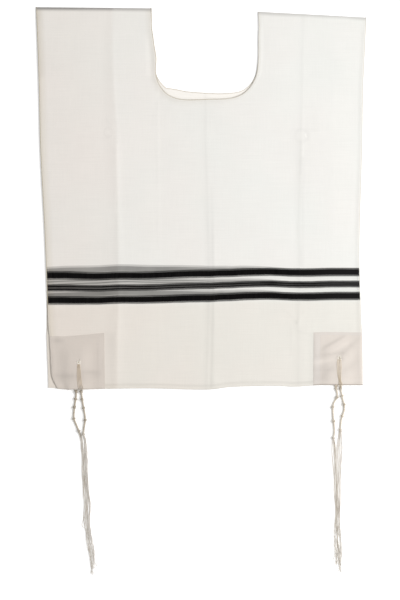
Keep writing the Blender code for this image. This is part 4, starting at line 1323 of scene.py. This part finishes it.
def wrinkleHeight(panel, side, x, y):
    total = streaks(square["wrinkles"][panel, side], x, y)
    if (panel, side) == ("front", "right"):
        for sx, sy, reach, height in square["spots"]:
            total += height * math.exp(-((x - sx) ** 2 + (y - sy) ** 2) / reach ** 2)
    return total


def onSquare(panel, line, height):
    # x and y on a square, whose upper edge rises towards its inner end
    wide, high = garment["patchEdge"][line.side], garment["patchTop"]
    rise = square["topRise"][panel, line.side] * clamp(line.atHem / wide) ** 1.4
    return line.below(panel, height + rise * ease(height, 0.6 * high, high))


def squarePoint(panel, side, line, height, hole):
    # outer and inner point of a square's cloth, and what the finish reads there
    a, wide, high = line.atHem, garment["patchEdge"][side], garment["patchTop"]
    sign = facing[panel]
    x, y = onSquare(panel, line, height)
    rim = min(a, height, wide - a, high - height)
    if hole:
        middle = Vector(eyeletPlace(panel, side))
        way = Vector((x, y)) - middle
        x, y = middle + way * (garment["eyeletRadius"] / way.length)
    waver = 0.35 * noise.noise(Vector((x / 9, y / 9, 5 + sign)))
    x += waver * ease(wide - a, 3, 0) * -line.sign
    y += waver * ease(high - height, 3, 0)
    low = dropped(clothTree, panel, (x, y)).z * sign + square["gap"]
    turned = min((wide - a) / square["turnedSide"], (high - height) / square["turnedTop"])
    body = square["turned"] * ease(turned, 1.05, 0.95)
    body += square["bulge"] * ease(rim, 1.0, 9.0) + waver * 0.1
    body += wrinkleHeight(panel, side, x, y) * ease(rim, 0.3, 5.0)
    body += square["thick"] * mix(square["rimThin"], 1.0, ease(min(wide - a, high - height), 0.0, 4.5))
    roll = 0.1 * ease(rim, 0.8, 0.0)
    outer, inner = (Vector((x, y, z * sign)) for z in (low + body - roll, low + roll * 0.3))
    return outer, inner, {"turnedUnder": turned, "darkness": square["darkness"][panel, side],
                          "shade": square["shading"] * streaks(square["shades"][panel, side], x, y),
                          "aboveHem": height}


def makeSquare(panel, side):
    eye, eyeHeight = garment["eyelet"][panel, side], garment["eyeletHeight"]
    around = [d * garment["eyeletRadius"] for d in (-1, -0.5, 0, 0.5, 1)]
    across, up = (stations(square["rimSteps"], [middle + d for d in around], length, square["step"])
                  for middle, length in ((eye, garment["patchEdge"][side]), (eyeHeight, garment["patchTop"])))
    hi, hj = nearest(across, eye), nearest(up, eyeHeight)
    flip = (panel == "back") != (side == "right")
    cells = []
    for i in range(len(across) - 1):
        for j in range(len(up) - 1):
            if not (hi - 2 <= i <= hi + 1 and hj - 2 <= j <= hj + 1):
                cell = ((i, j), (i + 1, j), (i + 1, j + 1), (i, j + 1))
                cells.append(cell[::-1] if flip else cell)
    points, uvs, facts = {}, {}, {}
    for key in {key for cell in cells for key in cell}:
        i, j = key
        onHole = max(abs(i - hi), abs(j - hj)) == 2
        outer, inner, found = squarePoint(panel, side, stripLine(side, across[i]), up[j], onHole)
        points[key], uvs[key] = (outer, inner), (outer.x, outer.y)
        for name, value in found.items():
            facts.setdefault(name, {})[key] = value
    return shell(f"square_{panel}_{side}", cells, points, squareCloth, facts, uvs)


squares, squareTrees = {}, {}
for panel, side in corners:
    made = makeSquare(panel, side)
    declare(made, "patch", f"corner_square_{panel}_{side}")
    squares[panel, side] = made
    squareTrees[panel, side] = BVHTree.FromObject(made, bpy.context.evaluated_depsgraph_get())
print("squares made")


# Sewing: stitches along the hems and round the squares, and the thread over the edges

sewing = {
    "lift": 0.05,
    "hemStitchInset": 3.9, "stitch": {"spacing": 0.0029},
    "squareStitchInset": 2.0, "squareStitch": {"spacing": 0.0026},
    "hemRowAbove": 13.0,
    "edge": {"spacing": 0.0014, "reach": 0.0019, "overhang": 0.00032, "thickness": 0.00105,
             "thread radius": 0.00018, "points": 7},
    "ring": {"spacing": 0.00062, "reach": 0.0014, "overhang": 0.0021, "thickness": 0.0013,
             "thread radius": 0.00026, "slant": 0.1},
}


def rimPaths():
    # the cloth's cut edges in space, with the cloth on their left, and their outward sides
    last, end = len(columns) - 1, clothRows
    ways = [
        [(0, s) for s in range(end, -1, -1)],
        [(last, s) for s in range(0, end + 1)],
        [(i, 0) for i in range(0, last + 1)],
        [(i, end) for i in range(last, -1, -1)],
        [(neckRight, s) for s in range(end - neckRow, neckRow, -1)]
        + [(i, neckRow) for i in range(neckRight, neckLeft, -1)]
        + [(neckLeft, s) for s in range(neckRow, end - neckRow)]
        + [(i, end - neckRow) for i in range(neckLeft, neckRight + 1)],
    ]
    walls = [[clothPoint(*key)[:2] for key in way] for way in ways]
    return ([[(outer + inner) / 2 for outer, inner in wall] for wall in walls],
            [[outward(s) for _, s in way] for way in ways])


def insetPath(path, inset, step=2.0):
    # an even path beside another in plan, on its left
    even = evenPath([(p[0], p[1], 0) for p in path], step)
    moved = []
    for k, point in enumerate(even):
        way = (even[min(k + 1, len(even) - 1)] - even[max(k - 1, 0)]).normalized()
        moved.append(Vector((point.x - way.y * inset, point.y + way.x * inset, 0)))
    return moved


def hemPaths(panel):
    # rows of stitches just inside the edges of a panel
    runs = [insetPath(edge, sewing["hemStitchInset"])[2:-2] for edge in panelEdges(panel)]
    return [[dropped(clothTree, panel, p, sewing["lift"]) for p in run] for run in runs]


def squarePaths(panel, side):
    wide, high, inset = garment["patchEdge"][side], garment["patchTop"], sewing["squareStitchInset"]
    ways = [[(a, high - inset) for a in spread(inset, wide - inset, 3.0)],
            [(wide - inset, h) for h in spread(high - inset, inset, 3.0)],
            [(4.0, h) for h in spread(inset, high - inset, 3.0)]]
    for h in (sewing["hemStitchInset"], sewing["hemRowAbove"]):
        ways.append([(a, h) for a in spread(inset, wide - inset, 3.0)])
    runs = [[onSquare(panel, stripLine(side, a), h) for a, h in way] for way in ways]
    return [[dropped(squareTrees[panel, side], panel, p, sewing["lift"]) for p in run] for run in runs]


def gathered(groups):
    # the paths of several panels, each with the side that they lie on
    paths, sides = [], []
    for panel, found in groups:
        paths += found
        sides += [[Vector((0, 0, facing[panel]))] * len(path) for path in found]
    return paths, sides


stitches, loops, ringLoops = stitchTree(sewingThread), loopTree(edgeThread), loopTree(eyeletThread)
hemRows = gathered((panel, hemPaths(panel)) for panel in facing)
hemStitches = onePiece("hemStitches", sewingThread, (stitches, sewing["stitch"], *hemRows))
declare(hemStitches, "string")
squareRows = gathered((panel, squarePaths(panel, side)) for panel, side in corners)
squareStitches = onePiece("squareStitches", sewingThread, (stitches, sewing["squareStitch"], *squareRows))
declare(squareStitches, "string")
edgeLoops = onePiece("edgeThread", edgeThread, (loops, sewing["edge"], *rimPaths()))
declare(edgeLoops, "string")


def ringPaths():
    # round each eyelet, with the cloth on the left
    groups, count = [], 24
    for panel, side in corners:
        centre, sign = Vector(eyeletPlace(panel, side)), facing[panel]
        ring = []
        for n in range(count + 1):
            turn = -sign * fullTurn * n / count
            way = Vector((math.cos(turn), math.sin(turn)))
            flat = centre + way * (garment["eyeletRadius"] + 0.1)
            level = dropped(squareTrees[panel, side], panel, centre + way * (garment["eyeletRadius"] + 1.0)).z
            ring.append(Vector((flat.x, flat.y, level - sign * 0.35)))
        groups.append((panel, [ring]))
    return gathered(groups)


eyeletStitches = onePiece("eyeletStitches", eyeletThread, (ringLoops, sewing["ring"], *ringPaths()))
declare(eyeletStitches, "string")
print("sewing made")


# The tassels. Cord and fall are x and y; spread is how far the hanging strings lie apart at a share of
# the fall; a stray is a string's number, the share where it leaves, for how long, and mm; an extra is a
# stray end or slack loop in x, y and z.
tassels = {
    ("back", "left"): {
        "cord": [(-218.1, -177), (-218.4, -186.3), (-221.2, -205.5), (-222.1, -223), (-218.1, -234.4),
            (-213.3, -245.8)],
        "fall": [(-213.3, -245.8), (-207.9, -265), (-206.2, -296.5), (-204.4, -331.5), (-202.3, -366.5),
            (-201.6, -401.5), (-197.4, -436.5), (-195.2, -454), (-192.4, -471.5), (-191.2, -484)],
        "spread": [(0, 0.55), (0.06, 1.2), (0.3, 1.3), (0.6, 1.4), (0.8, 1.5), (0.92, 1.2), (1, 0.7)],
        "strays": [(3, 0.62, 0.09, -1.6), (6, 0.72, 0.06, -1.2)],
        "extra": [[(-203.6, -396, 1), (-206.4, -403, 0.8), (-207.6, -410.5, 0.7),
            (-204.9, -415, 0.8), (-201.5, -411.5, 1.4), (-200.3, -404, 1.9)]],
    },
    ("front", "left"): {
        "cord": [(-209.1, -177), (-207.6, -190.8), (-204.4, -209), (-202.3, -224.8), (-204.1, -238.8),
            (-205.6, -251)],
        "fall": [(-205.6, -251), (-202.7, -265), (-200.9, -296.5), (-199.2, -331.5), (-197.4, -366.5),
            (-196.4, -401.5), (-192.9, -436.5), (-190.4, -454), (-189.4, -471.5), (-189.2, -495.5)],
        "spread": [(0, 0.55), (0.06, 1.2), (0.3, 1.3), (0.6, 1.4), (0.8, 1.6), (0.92, 1.3), (1, 0.7)],
        "strays": [(3, 0.12, 0.08, 1.6), (7, 0.80, 0.08, 1.6), (2, 0.66, 0.07, 1.2)],
        "extra": [[(-191.8, -456, 2), (-188.9, -464, 1.5), (-185.4, -474, 0.8), (-181.4, -482.5, 0.6)]],
    },
    ("back", "right"): {
        "cord": [(236.2, -171.4), (238.6, -184.5), (231.4, -199.6), (231.2, -218), (233.6, -244),
            (231.9, -258)],
        "fall": [(231.9, -258), (233.4, -279), (235.2, -314), (235.9, -349), (237, -384), (237.3, -419),
            (238.2, -454), (238.6, -478)],
        "spread": [(0, 0.55), (0.05, 1.3), (0.12, 1.6), (0.3, 1.5), (0.6, 1.5), (0.85, 1.5), (1, 1.1)],
        "strays": [(3, 0.13, 0.17, -2.6), (7, 0.16, 0.2, -1.6), (2, 0.33, 0.12, -1.2)],
        "extra": [[(236.2, -449, 0.9), (234.6, -461, 0.7), (231.9, -472.2, 0.6)],
            [(238.5, -462, 0.9), (237.6, -473, 0.7), (236.6, -483.3, 0.6)]],
    },
    ("front", "right"): {
        "cord": [(244.3, -171.4), (247.5, -187.2), (251, -205.5), (245.9, -224.8), (244.7, -233.5),
            (244.1, -244)],
        "fall": [(244.1, -244), (242.7, -265), (241.8, -296.5), (241.2, -331.5), (241.3, -366.5),
            (240.6, -401.5), (242, -436.5), (243.5, -454), (242.9, -471.5), (243.4, -490.5)],
        "spread": [(0, 0.6), (0.04, 1.8), (0.12, 2.7), (0.3, 2.4), (0.5, 1.7), (0.7, 1.5), (0.88, 1.6),
            (1, 0.9)],
        "strays": [(3, 0.10, 0.10, 1), (2, 0.45, 0.08, -1.5), (7, 0.84, 0.05, 1.3)],
        "extra": [],
    },
}
strings = {
    "radius": 0.42,
    "windings": (7, 8, 11, 13),
    "coilRadius": 1.5,
    "knotHalf": 2.8, "knotRadius": 2.4, "knotTurns": 4.5, "knotString": 0.53,
    "knotBack": 0.78,       # the share of a knot's string that is wound before it slants back
    "knotPoints": 90, "knotOver": 0.7, "knotWaver": 0.28,
    # layer, rank from the inner side, and end as a share of the fall
    "free": [(0, 0, 0.955), (0, 1, 0.98), (0, 2, 0.97), (0, 3, 0.92), (1, 0, 0.965), (1, 1, 0.935),
        (1, 2, 0.98), (1, 3, 0.95)],
    "wisps": (-0.32, 0.05, 0.38), "wispReach": 7.5,
    "layerRise": 0.82, "fallFrom": 3.0,
    # mm, and turns of the noise along a fall: the first two move neighbours together
    "wander": ((1.9, 3.1), (1.6, 8.0), (1.15, 26.0)),
    # from the eyelet to the hem: how far along, and how far the strings have spread
    "loop": {
        "left": [(0, 0.3), (0.1, 0.5), (0.3, 0.75), (0.55, 0.9), (0.8, 1), (0.93, 1.05), (1, 0.9)],
        "right": [(0, 0.4), (0.1, 0.8), (0.3, 1), (0.5, 0.9), (0.7, 0.6), (0.82, 0.5), (0.93, 0.75),
            (1, 0.8)],
    },
    "loopPitch": 2.3, "loopBow": 1.4, "hemRise": 0.3,
    "levelBack": 0.55, "levelInside": 4.7,
    "wisp": {"ply radius": 0.0001, "ply pitch": 0.004, "step": 0.0012, "sides": 4},
    "fine": {"ply radius": 0.0002, "ply pitch": 0.0052, "step": 0.0013, "sides": 5},
    "ply": {"ply radius": 0.00025, "ply pitch": 0.0058, "step": 0.0012, "sides": 5},
    "wound": {"ply radius": 0.00025, "ply pitch": 0.0052, "step": 0.001, "sides": 5,
              "coil radius": 0.0015, "coil pitch": 0.0013},
}


def knotShares():
    # where the knots are, as shares of a cord
    turns = strings["windings"]
    return [sum(turns[:k]) / sum(turns) for k in range(len(turns) + 1)]


def frameAt(path, place):
    # point, forward way, sideways way on an even path at a share of it
    k = clamp(place) * (len(path) - 1)
    low = min(int(k), len(path) - 2)
    way = (path[min(low + 2, len(path) - 1)] - path[max(low - 1, 0)]).normalized()
    point = path[low] + (path[low + 1] - path[low]) * (k - low)
    return point, way, Vector((-way.y, way.x, 0)).normalized()


def knotPath(centre, way, across, seed):
    # turns wound close on each other into a bead, the last of them slanting back over the rest
    up, back = way.cross(across), strings["knotBack"]
    half = strings["knotHalf"] * (0.85 + 0.2 * math.sin(2.3 * seed)) * 0.8
    size = strings["knotRadius"] * (0.97 + 0.1 * math.sin(4.1 * seed))
    count, path = strings["knotPoints"], []
    for n in range(count + 1):
        t = n / count
        along = mix(-1, 1, min(t / back, 1.0)) if t < back else mix(1, -1, (t - back) / (1 - back))
        turn = fullTurn * strings["knotTurns"] * t + seed
        over = strings["knotOver"] * ease(t, back - 0.04, back + 0.04)
        out = size * math.sqrt(1.06 - along * along * 0.62) + over
        out += strings["knotWaver"] * math.sin(5.1 * turn)
        around = across * (out * math.cos(turn)) + up * (out * math.sin(turn))
        path.append(centre + around + way * (half * along))
    return path


def freeStrings(plan, sign, seed):
    # eight strings in two layers, each with its own waver, and some that stray for a stretch
    fall = evenPath([(x, y, 0) for x, y in plan["fall"]], 3.0)
    last = len(fall) - 1
    paths = []
    for n, (layer, rank, end) in enumerate(strings["free"]):
        path = []
        for k in range(int(last * end) + 1):
            share = k / last
            point, _, across = frameAt(fall, share)
            start = ease(share, 0.0, 0.06)
            offset = sign * (rank - 1.75 + 0.5 * layer) * lookup(plan["spread"], share)
            for number, middle, half, far in plan["strays"]:
                if number == n:
                    offset += far * ease(abs(share - middle), half, 0.0)
            for turn, (size, often) in enumerate(strings["wander"]):
                rough = 1.0 if turn < 2 else 0.35 + 1.1 * ease(share, 0.45, 0.9)
                own = 3 * n if turn == 2 else 5 * (rank // 2)
                offset += size * rough * start * noise.noise(Vector((share * often, seed + own, 7.7 * turn)))
            lift = 0.5 * max(0.0, noise.noise(Vector((share * 9.0, 5 * n, seed))))
            level = strings["radius"] + 0.03 + layer * strings["layerRise"] + lift * start
            level = mix(strings["fallFrom"], level, ease(share, -0.01, 0.045))
            path.append(point + across * offset + Vector((0, 0, level)))
        paths.append(path)
    return paths


def endWisps(path, seed):
    # the three plies of a string's end, come apart
    end, way = path[-1], (path[-1] - path[-3]).normalized()
    across = Vector((-way.y, way.x, 0))
    wisps = []
    for n, turn in enumerate(strings["wisps"]):
        loose = noise.noise(Vector((seed, 3.1 * n, 8.3)))
        reach = strings["wispReach"] * (1.0 + 0.7 * loose)
        wisps.append([end + way * (reach * t) + across * (reach * (turn + 0.5 * loose) * t * t)
                      for t in (0.0, 0.25, 0.5, 0.75, 1.0)])
    return wisps


def loopPaths(panel, side, plan):
    # four strings through the eyelet: down the outside, through the hole, and down the inside
    tree = squareTrees[panel, side]
    eye, knot = Vector(eyeletPlace(panel, side)), Vector(plan["cord"][0])
    hem = Vector((knot.x, hemHeight("front", knot.x) - 1.0))
    inside, proud = strings["levelInside"], strings["radius"] * 1.05
    knotLevel = strings["coilRadius"] + strings["knotString"] + 0.2
    paths = []
    for n in range(4):
        lateral = n - 1.5
        outer, inner = [], []
        for along, apart in strings["loop"][side]:
            middle = eye.lerp(hem, along)
            bow = strings["loopBow"] * math.sin(math.pi * along ** 1.4)
            x = middle.x + lateral * strings["loopPitch"] * apart - bow
            surface = dropped(tree, panel, (x, middle.y)).z
            level = surface + proud
            if panel == "back":
                level = max(surface - proud, strings["levelBack"] - 0.1)
            if along == 0.0:
                level = mix(level, inside, 0.5)
            if along == 1.0:
                level = mix(outer[-1].z, knotLevel, 0.1)
            elif along > 0.9:
                level += strings["hemRise"]
            outer.append(Vector((x, middle.y, level)))
            inner.append(Vector((middle.x + lateral * 1.12 * mix(0.4, 1.0, apart), middle.y, inside)))
        start = Vector((knot.x + lateral * 0.75, knot.y + 1.2, knotLevel))
        foot = Vector((knot.x + lateral * 0.5, knot.y - 2.0, knotLevel))
        lip = Vector((eye.x + lateral * 0.5, eye.y + 1.1, outer[0].z))
        dip = Vector((eye.x + lateral * 0.45, eye.y + 1.4, mix(outer[1].z, inside, 0.35)))
        below = start + Vector((0, 0, -0.4))
        paths.append(evenPath([foot, start, *outer[:0:-1], lip, dip, *inner, below, foot], 1.2))
    return paths


def cordPaths(plan):
    # the four wound stretches between the knots, and the knots
    step = 0.5
    route = evenPath([(x, y, 0) for x, y in plan["cord"]], step)
    length = (len(route) - 1) * step
    level = strings["coilRadius"] + strings["knotString"] + 0.05
    knotLevel = strings["knotRadius"] + strings["knotString"] + 0.4
    shares = knotShares()
    spans = []
    for start, end in zip(shares, shares[1:]):
        span = []
        for share in spread(start + 0.3 / length, end - 0.3 / length, 1.5 / length):
            point = frameAt(route, share)[0]
            near = min(share - start, end - share) * length
            span.append(Vector((point.x, point.y, mix(knotLevel, level, ease(near, 1.5, 5.5)))))
        spans.append(span)
    places = [frameAt(route, share) for share in shares]
    return spans, [(Vector((point.x, point.y, knotLevel)), way, across) for point, way, across in places]


plies = 3
stringNodes, windingNodes = stringTree(stringWool, plies), windingTree(stringWool, plies)
for seed, ((panel, side), plan) in enumerate(tassels.items()):
    spans, knots = cordPaths(plan)
    free = freeStrings(plan, facing[panel], 11.0 + 4 * seed)
    thin = loopPaths(panel, side, plan) + free + [evenPath(run, 1.2) for run in plan["extra"]]
    wisps = [wisp for n, path in enumerate(free) for wisp in endWisps(path, 9.0 * seed + 1.7 * n)]
    thick = [knotPath(*knot, 0.6 + 1.3 * n + seed) for n, knot in enumerate(knots)]
    made = onePiece(f"strings_{panel}_{side}", stringWool,
                    (stringNodes, strings["fine"], thin), (stringNodes, strings["wisp"], wisps),
                    (stringNodes, strings["ply"], thick), (windingNodes, strings["wound"], spans))
    declare(made, "string", f"tassel_{panel}_{side}")
print("tassels made")


# Floor, light and camera
studio = {
    "floorHalf": 4.0,
    "cameraPlace": (-0.0014, -0.01654, 2.917),
    "lens": 100.0,
    "keyPlace": (2.1, 0.1, 2.5), "keySize": 1.8, "keyPower": 88.0,
    "fillPlace": (-1.6, 0.8, 2.4), "fillSize": 2.2, "fillPower": 8.0,
    "sky": 0.42,
    "floorGlow": 0.24,
}


def makeFloor():
    half = studio["floorHalf"]
    mesh = bpy.data.meshes.new("floor")
    corner = [(-half, -half, 0), (half, -half, 0), (half, half, 0), (-half, half, 0)]
    mesh.from_pydata(corner, [], [(0, 1, 2, 3)])
    floor = linked("floor", mesh)
    floor.location.z = -0.0001
    material, bench = newMaterial("paleFloor")
    shader = bench.add("ShaderNodeBsdfPrincipled", {},
                       {"Base Color": (0.93, 0.93, 0.93, 1), "Roughness": 0.9, "Specular IOR Level": 0.1,
                        "Emission Color": (1, 1, 1, 1), "Emission Strength": studio["floorGlow"]})
    bench.add("ShaderNodeOutputMaterial", {}, {"Surface": shader})
    mesh.materials.append(material)


def makeLight(name, place, size, power):
    light = bpy.data.lights.new(name, "AREA")
    light.shape, light.size, light.energy = "DISK", size, power
    made = linked(name, light)
    made.location = place
    made.rotation_euler = (-Vector(place)).to_track_quat("-Z", "Y").to_euler()


def makeCamera():
    camera = bpy.data.cameras.new("camera")
    camera.lens, camera.sensor_width, camera.sensor_fit = studio["lens"], 36.0, "AUTO"
    made = linked("camera", camera)
    made.location = studio["cameraPlace"]
    bpy.context.scene.camera = made


makeFloor()
makeLight("key", studio["keyPlace"], studio["keySize"], studio["keyPower"])
makeLight("fill", studio["fillPlace"], studio["fillSize"], studio["fillPower"])
world = bpy.data.worlds.new("studio")
world.use_nodes = True
sky = world.node_tree.nodes["Background"].inputs
sky["Color"].default_value, sky["Strength"].default_value = (1, 1, 1, 1), studio["sky"]
bpy.context.scene.world = world
makeCamera()
bpy.context.scene.view_settings.view_transform = "Standard"
print("floor, lights and camera made")
